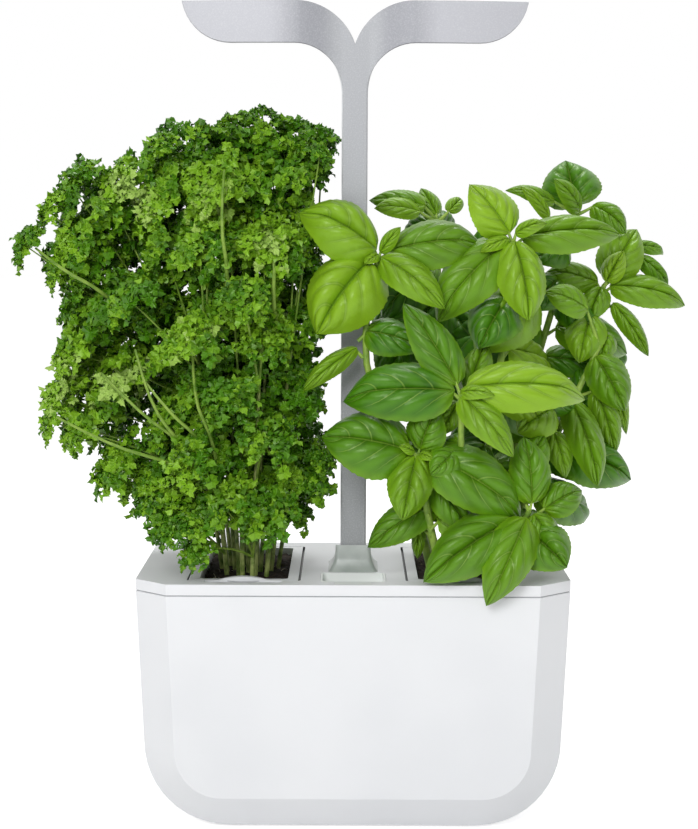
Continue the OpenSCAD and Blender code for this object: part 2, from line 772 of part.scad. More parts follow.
module tact_switch() {
  front = driver_y + board_t;
  color(dark) translate([0, 0, button_z]) difference() {
    translate([-3.5, front, -3.5]) cube([7, flange_y - 3.4 - front, 7]);
    translate([0, flange_y - 3.4 - 2, 0]) rotate([-90, 0, 0]) cylinder(r = stem_r + 0.3, h = 4);
  }
}

// The flange holds the cap in from behind the cover's wall
module power_button() {
  color(white) translate([0, flange_y - 1, button_z]) rotate([-90, 0, 0]) {
    translate([0, 0, -3]) cylinder(r = stem_r, h = 3 + tiny);
    cylinder(r = button_r + 0.9, h = 1);
    translate([0, 0, 1 - tiny]) cylinder(r = button_r, h = lamp_wall + 2.2);
  }
}

module lamp_screws() {
  color(silver) {
    at_board_posts() translate([0, 0, board_z]) screw(board_screw_l, head_r - 0.1, 1.2);
    at_cover_screws() translate([0, seam_y + cover_screw_grip, 0]) rotate([90, 0, 0]) screw(cover_screw_grip + cover_screw_bite, head_r, 1.5);
  }
}

cap_plug = 8;
cap_gap = 0.2;

// Plug that closes the mast's lower end
module mast_cap() {
  color(dark) translate([0, mast_mid, mast_foot]) {
    plate(cover_w, mast_d, cap_h, 1);
    translate([0, 0, cap_h - tiny]) plate(mast_w - 2 * lamp_wall - 2 * cap_gap, mast_d - 2 * lamp_wall - 2 * cap_gap, cap_plug, 1);
  }
}

// ---- plants ----

function unit(v) = v / norm(v);

// The plants' tables hold places for a plug whose top is at table_soil, with its middle
// table_x from the mast's, and for a lamp that is foliage_room above it. A plant fills
// the room that it has, on its own side of the mast, and leans with the mast
table_soil = 155.6;
table_x = 73;
table_mast = -15;
foliage_room = 366.4;
growth = (wing_z - soil_top) / foliage_room;

function grown(p, side) =
  let (rise = p[2] - table_soil)
  [p[0] + side * (cart_x - table_x), p[1] + (mast_mid - table_mast) * min(1, rise / 60), soil_top + rise * growth];

// The point of a bent stem at height z; a stem is a list of points, foot first
function on_stem(stem, z, i = 0) =
  i >= len(stem) - 2 || z < stem[i + 1][2]
    ? let (t = min(1, max(0, (z - stem[i][2]) / (stem[i + 1][2] - stem[i][2])))) stem[i] + t * (stem[i + 1] - stem[i])
    : on_stem(stem, z, i + 1);

// A leaf from base to tip, turned to face a direction. The outline lists shares of
// its length and of its width; arch bends it along the midrib, fold creases it there
module leaf(base, tip, width, facing, outline, arch, fold, thick = 1.3) {
  along = tip - base;
  across = unit(cross(along, facing));
  up = unit(cross(across, along));
  loft([for (p = outline)
    let (
      mid = base + along * p[0] + up * norm(along) * arch * 4 * p[0] * (1 - p[0]),
      side = across * width * p[1] / 2,
      drop = up * width * p[1] * fold)
    [mid - side - drop, mid + up * thick / 2, mid + side - drop, mid - up * thick / 2]]);
}

// A three-sided stalk through a list of points
module stalk(points, r) {
  loft([for (i = [0:len(points) - 1]) let (k = r * (1 - 0.45 * i / len(points)))
    [for (a = [90, 210, 330]) points[i] + k * [cos(a), sin(a), 0]]]);
}

// A round stem in straight joints, thinner towards its top
module stem(points, r) {
  n = len(points) - 1;
  for (i = [0:n - 1]) hull() {
    translate(points[i]) cylinder(r = r * (1 - 0.4 * i / n), h = 0.6, $fn = 6);
    translate(points[i + 1]) cylinder(r = r * (1 - 0.4 * (i + 1) / n), h = 0.6, $fn = 6);
  }
}

// Basil: stems from the soil up to their rosettes
basil_table = [
  [[56, -30, table_soil], [45, -44, 205], [20, -54, 270], [2, -52, 326], [16, -48, 380]],
  [[84, -15, table_soil], [92, -28, 260], [104, -38, 340], [106, -43, 392]],
  [[92, 15, table_soil], [125, 28, 240], [160, 26, 320], [176, 24, 360]],
  [[70, -45, table_soil], [72, -70, 225], [70, -82, 292]],
  [[62, -50, table_soil], [50, -72, 205], [41, -79, 252]],
  [[88, -45, table_soil], [106, -66, 185], [116, -75, 213]],
  [[90, 5, table_soil], [120, 16, 280], [145, 22, 360], [156, 25, 412]],
  [[66, 15, table_soil], [62, 20, 280], [58, 26, 405]],
  [[92, -12, table_soil], [132, -12, 240], [170, 0, 318]],
  [[80, 40, table_soil], [90, 62, 270], [96, 66, 375]],
  [[60, 45, table_soil], [40, 64, 260], [34, 62, 345]],
  [[90, 40, table_soil], [140, 60, 240], [172, 58, 315]]
];
basil_stems = [for (s = basil_table) [for (p = s) grown(p, 1)]];

// Basil leaves seen from the front: stem, base, tip, width
basil_leaves = [
  [0, [15, -47, 385], [-34, -53, 412], 40],
  [0, [10, -48, 378], [-25, -64, 330], 50],
  [0, [24, -46, 385], [86, -44, 391], 34],
  [0, [18, -50, 380], [60, -64, 347], 26],
  [0, [17, -50, 383], [30, -58, 400], 10],
  [0, [16, -50, 382], [7, -60, 376], 8],
  [0, [2, -52, 320], [-34, -60, 292], 14],
  [7, [50, 18, 415], [10, 26, 420], 20],
  [7, [46, 14, 411], [14, 12, 414], 16],
  [7, [58, 28, 409], [47, 40, 428], 14],
  [7, [66, 30, 411], [77, 40, 421], 11],
  [1, [104, -42, 396], [77, -41, 429], 32],
  [1, [107, -46, 391], [116, -66, 340], 33],
  [1, [102, -41, 391], [54, -52, 340], 37],
  [1, [112, -36, 394], [181, -22, 397], 28],
  [1, [107, -46, 396], [127, -50, 404], 11],
  [1, [103, -46, 393], [84, -54, 385], 10],
  [1, [120, -30, 358], [83, -48, 318], 42],
  [1, [92, -40, 300], [130, -48, 268], 28],
  [6, [156, 30, 415], [150, 44, 448], 40],
  [6, [158, 24, 411], [139, 12, 434], 16],
  [6, [141, 25, 418], [107, 20, 428], 13],
  [6, [136, 16, 407], [116, 10, 429], 11],
  [6, [167, 25, 416], [191, 20, 398], 20],
  [2, [179, 29, 364], [200, 36, 400], 31],
  [2, [177, 23, 362], [188, 18, 384], 16],
  [2, [180, 26, 360], [236, 34, 347], 24],
  [2, [174, 22, 359], [163, 10, 335], 19],
  [2, [172, 26, 362], [136, 20, 371], 22],
  [2, [165, 12, 340], [156, -5, 308], 28],
  [2, [176, 14, 328], [171, 0, 308], 19],
  [2, [182, 22, 348], [207, 15, 311], 14],
  [2, [200, 42, 388], [224, 54, 383], 11],
  [2, [202, 40, 380], [225, 44, 358], 14],
  [8, [161, -10, 344], [131, -16, 357], 22],
  [3, [66, -82, 294], [-8, -78, 290], 40],
  [3, [68, -79, 297], [33, -66, 351], 28],
  [3, [73, -82, 296], [155, -72, 292], 35],
  [3, [70, -85, 291], [104, -99, 253], 24],
  [3, [69, -85, 293], [91, -94, 292], 11],
  [3, [76, -60, 290], [88, -48, 324], 21],
  [3, [69, -66, 285], [57, -62, 262], 16],
  [4, [37, -77, 254], [-21, -75, 263], 46],
  [4, [43, -78, 254], [54, -80, 281], 26],
  [4, [41, -80, 251], [32, -94, 210], 29],
  [4, [40, -81, 253], [30, -88, 258], 7],
  [4, [43, -81, 252], [53, -88, 249], 7],
  [4, [46, -74, 252], [113, -78, 210], 39],
  [4, [54, -66, 232], [78, -72, 199], 24],
  [4, [54, -62, 217], [9, -66, 188], 25],
  [4, [45, -56, 202], [43, -52, 177], 9],
  [5, [118, -74, 218], [113, -66, 262], 27],
  [5, [119, -76, 212], [131, -84, 192], 18],
  [5, [126, -70, 214], [153, -62, 227], 23],
  [5, [114, -80, 210], [87, -104, 156], 31],
  [5, [106, -76, 208], [46, -98, 171], 38],
  [5, [110, -60, 232], [128, -50, 262], 24],
  [8, [167, -5, 312], [187, -15, 275], 28],
  [8, [178, 6, 310], [191, 5, 256], 12],
  [8, [168, 0, 290], [182, -5, 243], 19],
  [8, [148, -18, 284], [167, -35, 225], 24],
  [8, [136, -28, 262], [145, -38, 232], 18],
  [8, [134, -38, 278], [110, -52, 264], 28]
];

// Basil leaves that only show from behind
basil_back = [
  [7, [60, 34, 404], [72, 64, 396], 30],
  [7, [54, 33, 403], [36, 58, 390], 28],
  [9, [100, 70, 376], [126, 92, 366], 34],
  [9, [92, 70, 375], [70, 100, 359], 32],
  [9, [96, 62, 379], [92, 42, 398], 26],
  [9, [93, 68, 312], [118, 103, 296], 34],
  [10, [38, 66, 346], [62, 88, 338], 32],
  [10, [30, 66, 345], [14, 90, 330], 28],
  [11, [176, 61, 316], [202, 76, 306], 28],
  [11, [168, 63, 316], [152, 90, 304], 32]
];

mast_clear = 6;

// True where a leaf keeps clear of the mast
function clear_of_mast(p, room) =
  abs(p[0]) > cover_w / 2 + mast_clear + room || p[1] < mast_front - mast_clear - room
    || p[1] > mast_back + mast_clear + room;

golden = 137.5;
fill_pairs = 2;
fill_from = [22, -104];
fill_to = [205, 104];

// More pairs of leaves up each stem, each pair turned from the one below
basil_fill = [
  for (i = [0:len(basil_stems) - 1], k = [0:fill_pairs - 1])
    let (
      s = basil_table[i], foot = table_soil + 45, head = s[len(s) - 1][2] - 10,
      z = foot + (head - foot) * (k + 0.3) / fill_pairs, p = on_stem(s, z),
      a = golden * (i * fill_pairs + k), size = 48 + 14 * sin(97 * (i + 3 * k)),
      d = [cos(a), 0.8 * sin(a) + 0.35, 0],
      base = p + 6 * d, tip = p + (size + 6) * d + [0, 0, -0.35 * size])
    if (tip[0] > fill_from[0] && tip[0] < fill_to[0] && tip[1] > fill_from[1] && tip[1] < fill_to[1]
      && clear_of_mast(grown(base, 1), 0) && clear_of_mast(grown(tip, 1), size * 0.3))
      [i, base, tip, 0.58 * size]
];

basil_outline = [[0, 0.08], [0.36, 0.95], [0.68, 0.82], [1, 0.03]];

module basil_plant() {
  color([0.36, 0.62, 0.16]) union() {
    for (s = basil_stems) stem(s, 3);
    for (b = concat(basil_leaves, basil_back, basil_fill)) {
      base = grown(b[1], 1);
      tip = grown(b[2], 1);
      leaf(base, tip, b[3], [0, -1, 0.55], basil_outline, 0.1, 0.14);
      stalk([on_stem(basil_stems[b[0]], base[2] - 7), base + 0.03 * (tip - base)], 1.3);
    }
  }
}

// Parsley heads round the outline and the front: middle of the head, its size
parsley_table = [
  [-190, -30, 428, 30], [-207, -30, 414, 24], [-224, -30, 390, 30], [-196, -30, 394, 30],
  [-203, -28, 370, 22], [-186, -26, 360, 22], [-165, -20, 432, 28], [-163, -32, 418, 30],
  [-137, -36, 416, 30], [-132, -15, 440, 26], [-108, -10, 454, 26], [-80, 0, 474, 30],
  [-62, 8, 480, 22], [-70, -15, 460, 30], [-36, 10, 470, 30], [-20, 16, 466, 24],
  [-22, -44, 450, 14], [-28, -14, 444, 26], [-50, -20, 450, 30], [-85, -40, 438, 30],
  [-96, -56, 424, 30], [-100, -66, 390, 34], [-56, -60, 392, 34], [-38, -36, 396, 26],
  [-34, -30, 380, 24], [-192, -20, 346, 24], [-196, -30, 318, 30], [-205, -34, 286, 28],
  [-206, -40, 270, 24], [-186, -44, 264, 28], [-164, -54, 240, 34], [-140, -50, 232, 24],
  [-126, -70, 214, 32], [-118, -84, 184, 30], [-106, -88, 184, 16], [-84, -84, 218, 40],
  [-56, -80, 216, 36], [-60, -80, 196, 30], [-32, -58, 232, 32], [-22, -46, 244, 22],
  [-40, -40, 206, 24], [-140, -74, 300, 34], [-110, -84, 330, 36], [-80, -88, 290, 34],
  [-58, -66, 326, 32], [-56, -84, 262, 34], [-32, -36, 300, 24], [-150, -66, 356, 34],
  [-110, -84, 250, 36], [-72, -86, 356, 32]
];
parsley_heads = [for (h = parsley_table) concat(grown(h, -1), h[3])];

// Denser foliage inside: layers of larger heads. A layer is its height, its left and
// right ends, and how many heads cross it
parsley_layers = [
  [446, -110, -58, 2], [400, -186, -56, 3], [346, -180, -56, 3], [292, -176, -56, 3],
  [240, -128, -58, 2]
];
bush_rows = [-26, 40];
bush_size = 74;
parsley_bush = [
  for (l = parsley_layers, row = bush_rows, i = [0:l[3] - 1])
    let (x = l[1] + (l[2] - l[1]) * (i + (row > 0 ? 0.2 : 0)) / (l[3] - 1))
    concat(grown([min(x, l[2]), row + 6 * sin(110 * i + l[0]), l[0] + 8 * sin(70 * i)], -1), bush_size)
];

parsley_x = -cart_x;
head_points = 8;
stalk_count = 16;
stalk_reach = 300;
knee = 34; // height over the soil at which the stalks begin to spread
twig_above = 22;
twig_drop = 34;
stalk_top = grown([0, 0, stalk_reach], -1)[2];
lean_back = 20;
lean_up = 70;

// The stalks, spread from the soil up into the foliage
parsley_stalks = [
  for (i = [0:stalk_count - 1])
    let (a = golden * i, r = sqrt((i + 0.5) / stalk_count))
    [[parsley_x + 21 * r * cos(a), cart_y + 46 * r * sin(a), soil_top],
     [parsley_x + 26 * r * cos(a), cart_y + 50 * r * sin(a), soil_top + knee],
     [parsley_x + 46 * r * cos(a), cart_y + 52 * r * sin(a), stalk_top]]
];

// The stalk whose point at height z is nearest to p
function near_stalk(p, z, i = 0, best = 0) =
  i >= stalk_count ? on_stem(parsley_stalks[best], z)
    : near_stalk(p, z, i + 1, norm(on_stem(parsley_stalks[i], z) - p) < norm(on_stem(parsley_stalks[best], z) - p) ? i : best);

// One ring of a scalloped head: height and radius are shares of its size
function head_ring(heart, lean, size, height, radius, wave) =
  let (u = unit(cross(lean, [0.2, 1, 0.1])), v = cross(lean, u), n = size == bush_size ? 6 : head_points)
  [for (i = [0:n - 1])
    let (a = 360 * i / n, w = i % 2 == 0 ? 1 : 1 - wave)
    heart + size * (lean * height * w + (u * cos(a) + v * sin(a)) * radius * w)];

function head_lean(h) = unit([h[0] - parsley_x, h[1] - lean_back, lean_up]);
function head_heart(h) = [h[0], h[1], h[2]] - head_lean(h) * h[3] * 0.45;

// A scalloped head of leaflets, hollowed into a cup
module head(h) {
  lean = head_lean(h);
  heart = head_heart(h);
  loft([
    head_ring(heart, lean, h[3], 0, 0.12, 0), head_ring(heart, lean, h[3], 0.5, 0.62, 0.25),
    head_ring(heart, lean, h[3], cup[0], cup[1], 0.2)]);
}

cup = [0.22, 0.2];

// The twig that joins an outer head to a stalk, or to the foliage above the stalks
module twig(h) {
  heart = head_heart(h);
  foot_z = max(soil_top + twig_above, h[2] - twig_drop);
  on_z = min(foot_z, stalk_top - 8);
  inside = foot_z < stalk_top + 20
    ? near_stalk([h[0], h[1], on_z], on_z)
    : [parsley_x + 0.62 * (h[0] - parsley_x), 0.3 * h[1], foot_z];
  stalk([inside, heart + head_lean(h) * h[3] * 0.16], 1.8);
}

module parsley_plant() {
  color([0.22, 0.5, 0.12]) union() {
    for (h = parsley_heads) {
      head(h);
      twig(h);
    }
    for (h = parsley_bush) head(h);
    for (s = parsley_stalks) stalk(s, 2.6);
  }
}

outer_pot();
foot_pads();
deck_cover();
mast_collar();
mast_well();
well_glides();
well_screws();
fill_funnel();
level_window();
float_guide();
basket_left();
basket_right();
pod_left();
pod_right();
substrate_left();
substrate_right();
wick_left();
wick_right();
lamp_shell();
lamp_cover();
led_board_left();
led_board_right();
led_chips();
diffuser_left();
diffuser_right();
driver_board();
dc_inlet();
dc_pin();
tact_switch();
lamp_screws();
mast_cap();
power_button();
water_float();
parsley_plant();
basil_plant();
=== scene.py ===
import bpy
import json
import itertools
import math
import numpy as np
import random
from mathutils import Matrix, Quaternion, Vector, noise


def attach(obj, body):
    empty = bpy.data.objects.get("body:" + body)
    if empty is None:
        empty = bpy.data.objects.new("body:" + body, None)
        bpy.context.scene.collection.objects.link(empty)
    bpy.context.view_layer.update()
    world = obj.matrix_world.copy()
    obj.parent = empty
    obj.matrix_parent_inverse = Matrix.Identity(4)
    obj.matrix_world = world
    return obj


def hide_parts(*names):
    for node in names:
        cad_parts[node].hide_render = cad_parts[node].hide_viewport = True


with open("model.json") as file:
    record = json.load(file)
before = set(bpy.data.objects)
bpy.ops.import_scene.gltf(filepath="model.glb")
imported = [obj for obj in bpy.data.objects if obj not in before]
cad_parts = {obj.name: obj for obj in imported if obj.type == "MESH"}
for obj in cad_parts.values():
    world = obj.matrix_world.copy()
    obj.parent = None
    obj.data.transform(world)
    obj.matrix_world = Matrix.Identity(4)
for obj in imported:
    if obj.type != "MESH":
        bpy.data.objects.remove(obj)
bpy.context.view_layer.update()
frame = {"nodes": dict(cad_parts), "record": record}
mm = 0.001


# camera, light and floor

cameraSetup = {
    "place": (-0.00317, -1.38973, 0.40073), "downTilt": 5.2445, "roll": 0.22,
    "lens": 87.15, "sensor": 36, "near": 0.05,
}
lightSetup = {
    "world": 0.44, "skyHigh": 1.2, "skyLow": 0.04, "skyClimb": (0.1, 0.85),
    "backdrop": 1.0, "backdropClimb": (-0.05, 0.35),
    "floorColor": (0.93, 0.93, 0.93, 1), "floorGlow": 0.62, "floorSize": 30,
}
# place, target, width and power of each lamp
studioLamps = (
    ((-0.6, -2.1, 1.35), (0, 0, 0.25), 1.2, 28.0),
    ((1.5, -1.0, 0.9), (0, 0, 0.25), 0.8, 1.0),
    ((0.1, 0.5, 1.7), (0, 0, 0.3), 0.9, 11.0),
)


def deselectAll():
    if bpy.context.mode != "OBJECT":
        bpy.ops.object.mode_set(mode="OBJECT")
    bpy.ops.object.select_all(action="DESELECT")


def setCamera():
    bpy.ops.object.camera_add(location=cameraSetup["place"])
    camera = bpy.context.object
    camera.rotation_mode = "QUATERNION"
    camera.rotation_quaternion = (Quaternion((1, 0, 0), math.radians(90 - cameraSetup["downTilt"]))
                                  @ Quaternion((0, 0, 1), math.radians(cameraSetup["roll"])))
    camera.data.lens = cameraSetup["lens"]
    camera.data.sensor_width = cameraSetup["sensor"]
    camera.data.clip_start = cameraSetup["near"]
    bpy.context.scene.camera = camera


def areaLight(place, target, size, power):
    bpy.ops.object.light_add(type="AREA", location=place)
    light = bpy.context.object
    light.data.shape = "DISK"
    light.data.size = size
    light.data.energy = power
    light.rotation_euler = (Vector(target) - Vector(place)).to_track_quat("-Z", "Y").to_euler()


# 1 for rays of these kinds, and 0 for those that light the object
def rayShare(tree, kinds):
    path = tree.nodes.new("ShaderNodeLightPath")
    share = path.outputs[kinds[0]]
    for kind in kinds[1:]:
        pick = tree.nodes.new("ShaderNodeMath")
        pick.operation = "MAXIMUM"
        tree.links.new(share, pick.inputs[0])
        tree.links.new(path.outputs[kind], pick.inputs[1])
        share = pick.outputs[0]
    return share


def mixNumbers(tree, share, low, high):
    mix = tree.nodes.new("ShaderNodeMix")
    mix.data_type = "FLOAT"
    for socket, value in zip((mix.inputs[0], mix.inputs[2], mix.inputs[3]), (share, low, high)):
        if isinstance(value, float):
            socket.default_value = value
        else:
            tree.links.new(value, socket)
    return mix.outputs[0]


# white behind the object and softer on it; reflections see a dim front, a bright ceiling and a white backdrop
def setWorld():
    world = bpy.context.scene.world or bpy.data.worlds.new("studio")
    bpy.context.scene.world = world
    world.use_nodes = True
    tree = world.node_tree
    tree.nodes.clear()
    out = tree.nodes.new("ShaderNodeOutputWorld")
    background = tree.nodes.new("ShaderNodeBackground")
    background.inputs["Color"].default_value = (1, 1, 1, 1)
    split = tree.nodes.new("ShaderNodeSeparateXYZ")
    tree.links.new(tree.nodes.new("ShaderNodeTexCoord").outputs["Generated"], split.inputs[0])
    shares = []
    for axis, (low, high) in ((2, lightSetup["skyClimb"]), (1, lightSetup["backdropClimb"])):
        climb = tree.nodes.new("ShaderNodeMapRange")
        climb.interpolation_type = "SMOOTHSTEP"
        climb.inputs["From Min"].default_value = low
        climb.inputs["From Max"].default_value = high
        tree.links.new(split.outputs[axis], climb.inputs[0])
        shares.append(climb.outputs[0])
    sky = mixNumbers(tree, shares[0], lightSetup["skyLow"], lightSetup["skyHigh"])
    sky = mixNumbers(tree, shares[1], sky, lightSetup["backdrop"])
    lit = mixNumbers(tree, rayShare(tree, ("Is Glossy Ray",)), lightSetup["world"], sky)
    seen = mixNumbers(tree, rayShare(tree, ("Is Camera Ray", "Is Transmission Ray")), lit, 1.0)
    tree.links.new(seen, background.inputs["Strength"])
    tree.links.new(background.outputs[0], out.inputs["Surface"])


bpy.context.scene.view_settings.view_transform = "Standard"
setCamera()
setWorld()
for place, target, width, power in studioLamps:
    areaLight(place, target, width, power)
print("stage: camera and light")


# a shader's value, which adds, multiplies and compares like a number
class Wire:
    def __init__(self, recipe, socket):
        self.recipe = recipe
        self.socket = socket

    def sum(self, operation, *values):
        return self.recipe.node("ShaderNodeMath", {"operation": operation}, *values)

    def __add__(self, other):
        return self.sum("ADD", self, other)

    def __sub__(self, other):
        return self.sum("SUBTRACT", self, other)

    def __mul__(self, other):
        return self.sum("MULTIPLY", self, other)

    def __pow__(self, other):
        return self.sum("POWER", self, other)

    def __abs__(self):
        return self.sum("ABSOLUTE", self)

    def __lt__(self, other):
        return self.sum("LESS_THAN", self, other)

    def __gt__(self, other):
        return self.sum("GREATER_THAN", self, other)

    __radd__ = __add__
    __rmul__ = __mul__


# a material under construction
class Recipe:
    def __init__(self, name, roughness=0.4, metallic=0.0, coat=0.0, specular=0.5, shine=(1, 1, 1, 1)):
        self.material = bpy.data.materials.new(name)
        self.material.use_nodes = True
        self.tree = self.material.node_tree
        self.shader = self.tree.nodes["Principled BSDF"]
        for socket, value in (
            ("Roughness", roughness), ("Metallic", metallic), ("Coat Weight", coat),
            ("Coat Roughness", 0.3), ("Specular IOR Level", specular), ("Specular Tint", shine),
        ):
            self.shader.inputs[socket].default_value = value
        place = self.tree.nodes.new("ShaderNodeTexCoord")
        self.spot = Wire(self, place.outputs["Object"])
        self.facing = Wire(self, place.outputs["Normal"])

    # a socket takes a wire or a plain value
    def put(self, socket, value):
        if isinstance(value, Wire):
            self.tree.links.new(value.socket, socket)
        else:
            socket.default_value = value

    def node(self, kind, settings, *values, output=0, **named):
        made = self.tree.nodes.new(kind)
        for key, value in settings.items():
            setattr(made, key, value)
        for socket, value in zip(made.inputs, values):
            self.put(socket, value)
        for key, value in named.items():
            self.put(made.inputs[key], value)
        return Wire(self, made.outputs[output])

    def noise(self, scale, detail=3.0):
        return self.node("ShaderNodeTexNoise", {}, Vector=self.spot, Scale=scale, Detail=detail)

    def step(self, value, low, high):
        smooth = {"interpolation_type": "SMOOTHSTEP"}
        return self.node("ShaderNodeMapRange", smooth, value, low, high, 0.0, 1.0)

    def blend(self, share, first, second):
        made = self.tree.nodes.new("ShaderNodeMix")
        made.data_type = "RGBA"
        for place, value in ((0, share), (6, first), (7, second)):
            self.put(made.inputs[place], value)
        return Wire(self, made.outputs[2])

    def split(self, vector):
        made = self.tree.nodes.new("ShaderNodeSeparateXYZ")
        self.tree.links.new(vector.socket, made.inputs[0])
        return [Wire(self, s) for s in made.outputs]

    def axes(self):
        return self.split(self.spot)

    def feed(self, **sockets):
        for name, value in sockets.items():
            self.put(self.shader.inputs[name.replace("_", " ")], value)

    def bump(self, height, strength, distance):
        made = self.tree.nodes.new("ShaderNodeBump")
        made.inputs["Strength"].default_value = strength
        made.inputs["Distance"].default_value = distance
        self.tree.links.new(height.socket, made.inputs["Height"])
        self.tree.links.new(made.outputs[0], self.shader.inputs["Normal"])
        return self


# finishes of the moulded parts

# seam, gap and scoop are painted shade colours for the deck's seam, gaps and finger scoops
whiteLook = {
    "face": (0.845, 0.855, 0.875, 1), "shade": (0.80, 0.812, 0.835, 1), "cloud": 9,
    "roughness": 0.36, "uneven": 0.08, "grain": 2600, "grainDepth": 0.00004,
    "seam": (0.40, 0.41, 0.43, 1), "gap": (0.03, 0.03, 0.032, 1), "scoop": (0.62, 0.63, 0.65, 1),
}
# low and high ends in metres of the painted shade on the deck: in its seam, gaps and finger scoops
deckMarks = {
    "seam": (0.1609, 0.1618), "sunk": (0.163, 0.1688), "innerGap": (0.0348, 0.0366),
    "outerGap": (0.1094, 0.1106), "outerShare": 0.6, "gapReach": 0.0735,
    "scoopDepth": (-0.0875, -0.0722), "scoopAcross": (0.03, 0.115),
}


def within(value, ends):
    return (value > ends[0]) * (value < ends[1])


# painted shade: the deck turns darker in its seam, in the gaps and in the finger scoops, where shadow falls
def deckPaintedShade(look, color):
    x, y, z = look.axes()
    out = abs(x)
    color = look.blend(within(z, deckMarks["seam"]), color, whiteLook["seam"])
    sunk = within(z, deckMarks["sunk"])
    scoop = sunk * within(y, deckMarks["scoopDepth"]) * within(out, deckMarks["scoopAcross"])
    color = look.blend(scoop, color, whiteLook["scoop"])
    along = sunk * (abs(y) < deckMarks["gapReach"])
    for gap, depth in (("innerGap", 1.0), ("outerGap", deckMarks["outerShare"])):
        color = look.blend(along * within(out, deckMarks[gap]) * depth, color, whiteLook["gap"])
    return color


def whitePlastic(name, paintedShade=False):
    look = Recipe(name)
    cloud = look.step(look.noise(whiteLook["cloud"], 2), 0.35, 0.7)
    color = look.blend(cloud, whiteLook["face"], whiteLook["shade"])
    if paintedShade:
        color = deckPaintedShade(look, color)
    look.feed(Base_Color=color, Roughness=whiteLook["roughness"] + whiteLook["uneven"] * look.noise(60, 2))
    return look.bump(look.noise(whiteLook["grain"], 1), 0.12, whiteLook["grainDepth"]).material


frostLook = {
    "deep": (0.33, 0.375, 0.345, 1), "pale": (0.90, 0.93, 0.91, 1), "roughness": 0.3, "coat": 0.2,
    "cloud": 70, "cloudShare": 0.2, "climb": (0.167, 0.187), "topLightShare": 0.3,
    "grain": 900, "grainDepth": 0.0001,
}


# a share given here pushes the colour to pale: painted light for parts that sit in a recess
def frostedPlastic(name, paintedLight=0.0):
    look = Recipe(name, roughness=frostLook["roughness"], coat=frostLook["coat"])
    height = look.axes()[2]
    cloud = look.step(look.noise(frostLook["cloud"]), 0.3, 0.75) * frostLook["cloudShare"]
    # painted highlight: the collar is painted lighter toward its top
    climb = look.step(height, *frostLook["climb"]) * frostLook["topLightShare"]
    look.feed(Base_Color=look.blend(cloud + climb + paintedLight, frostLook["deep"], frostLook["pale"]))
    return look.bump(look.noise(frostLook["grain"], 2), 0.15, frostLook["grainDepth"]).material


# wing and arm tones are painted reflection and painted shade, low makes the mast darker toward the bottom,
# rim is painted shade; spark is the paint's flake
silverLook = {
    "wing": (0.53, 0.535, 0.575, 1), "arm": (0.36, 0.365, 0.40, 1), "mast": (0.43, 0.44, 0.465, 1),
    "low": (0.35, 0.36, 0.375, 1), "rim": (0.10, 0.10, 0.107, 1), "spark": (0.8, 0.812, 0.824, 1),
    "metal": 0.1, "roughness": 0.42, "uneven": 0.2, "fleck": 1100, "sparkShare": 0.22, "grainDepth": 0.00008,
}
# where one tone turns into the next, in metres above the floor or out from the middle; the tones are painted
# reflection and painted shade
silverTurns = {
    "mastUp": (0.18, 0.46), "armOut": (0.012, 0.026), "armUp": (0.48, 0.50), "wingOut": (0.034, 0.06),
    "rimShadeUp": (0.4, 0.45),
}


def silverPaint(name):
    look = Recipe(name, metallic=silverLook["metal"])
    x, _, z = look.axes()
    out = abs(x)
    fleck = look.noise(silverLook["fleck"], 2)
    # painted reflection and shade: lighter wings, darker arms, the mast darker toward the bottom
    color = look.blend(look.step(z, *silverTurns["mastUp"]), silverLook["low"], silverLook["mast"])
    arm = look.step(out, *silverTurns["armOut"]) * look.step(z, *silverTurns["armUp"])
    color = look.blend(arm, color, silverLook["arm"])
    color = look.blend(look.step(out, *silverTurns["wingOut"]), color, silverLook["wing"])
    color = look.blend(look.step(fleck, 0.42, 0.75) * silverLook["sparkShare"], color, silverLook["spark"])
    # painted shade: the lower front chamfer, which faces down, is painted in the dark rim colour
    _, forward, upward = look.split(look.facing)
    under = look.step(upward, -0.15, -0.45) * look.step(forward, -0.4, -0.6)
    color = look.blend(under * look.step(z, *silverTurns["rimShadeUp"]), color, silverLook["rim"])
    look.feed(Base_Color=color, Roughness=silverLook["roughness"] + silverLook["uneven"] * fleck)
    return look.bump(fleck, 0.2, silverLook["grainDepth"]).material


plainLook = {"dark": 0.8, "cloud": 40, "grain": 1800, "grainDepth": 0.00008}


def plainPlastic(name, color, roughness, metallic=0.0):
    look = Recipe(name, roughness=roughness, metallic=metallic)
    dark = tuple(c * plainLook["dark"] for c in color[:3]) + (1,)
    look.feed(Base_Color=look.blend(look.step(look.noise(plainLook["cloud"]), 0.4, 0.7), color, dark))
    return look.bump(look.noise(plainLook["grain"], 2), 0.2, plainLook["grainDepth"]).material


fiberLook = {"roughness": 0.95, "fuzz": 1.5, "fuzzDepth": 0.0012}


def fibrous(name, pale, deep, grain=500):
    look = Recipe(name, roughness=fiberLook["roughness"])
    look.feed(Base_Color=look.blend(look.step(look.noise(grain, 6), 0.35, 0.7), deep, pale))
    return look.bump(look.noise(grain * fiberLook["fuzz"], 6), 0.8, fiberLook["fuzzDepth"]).material


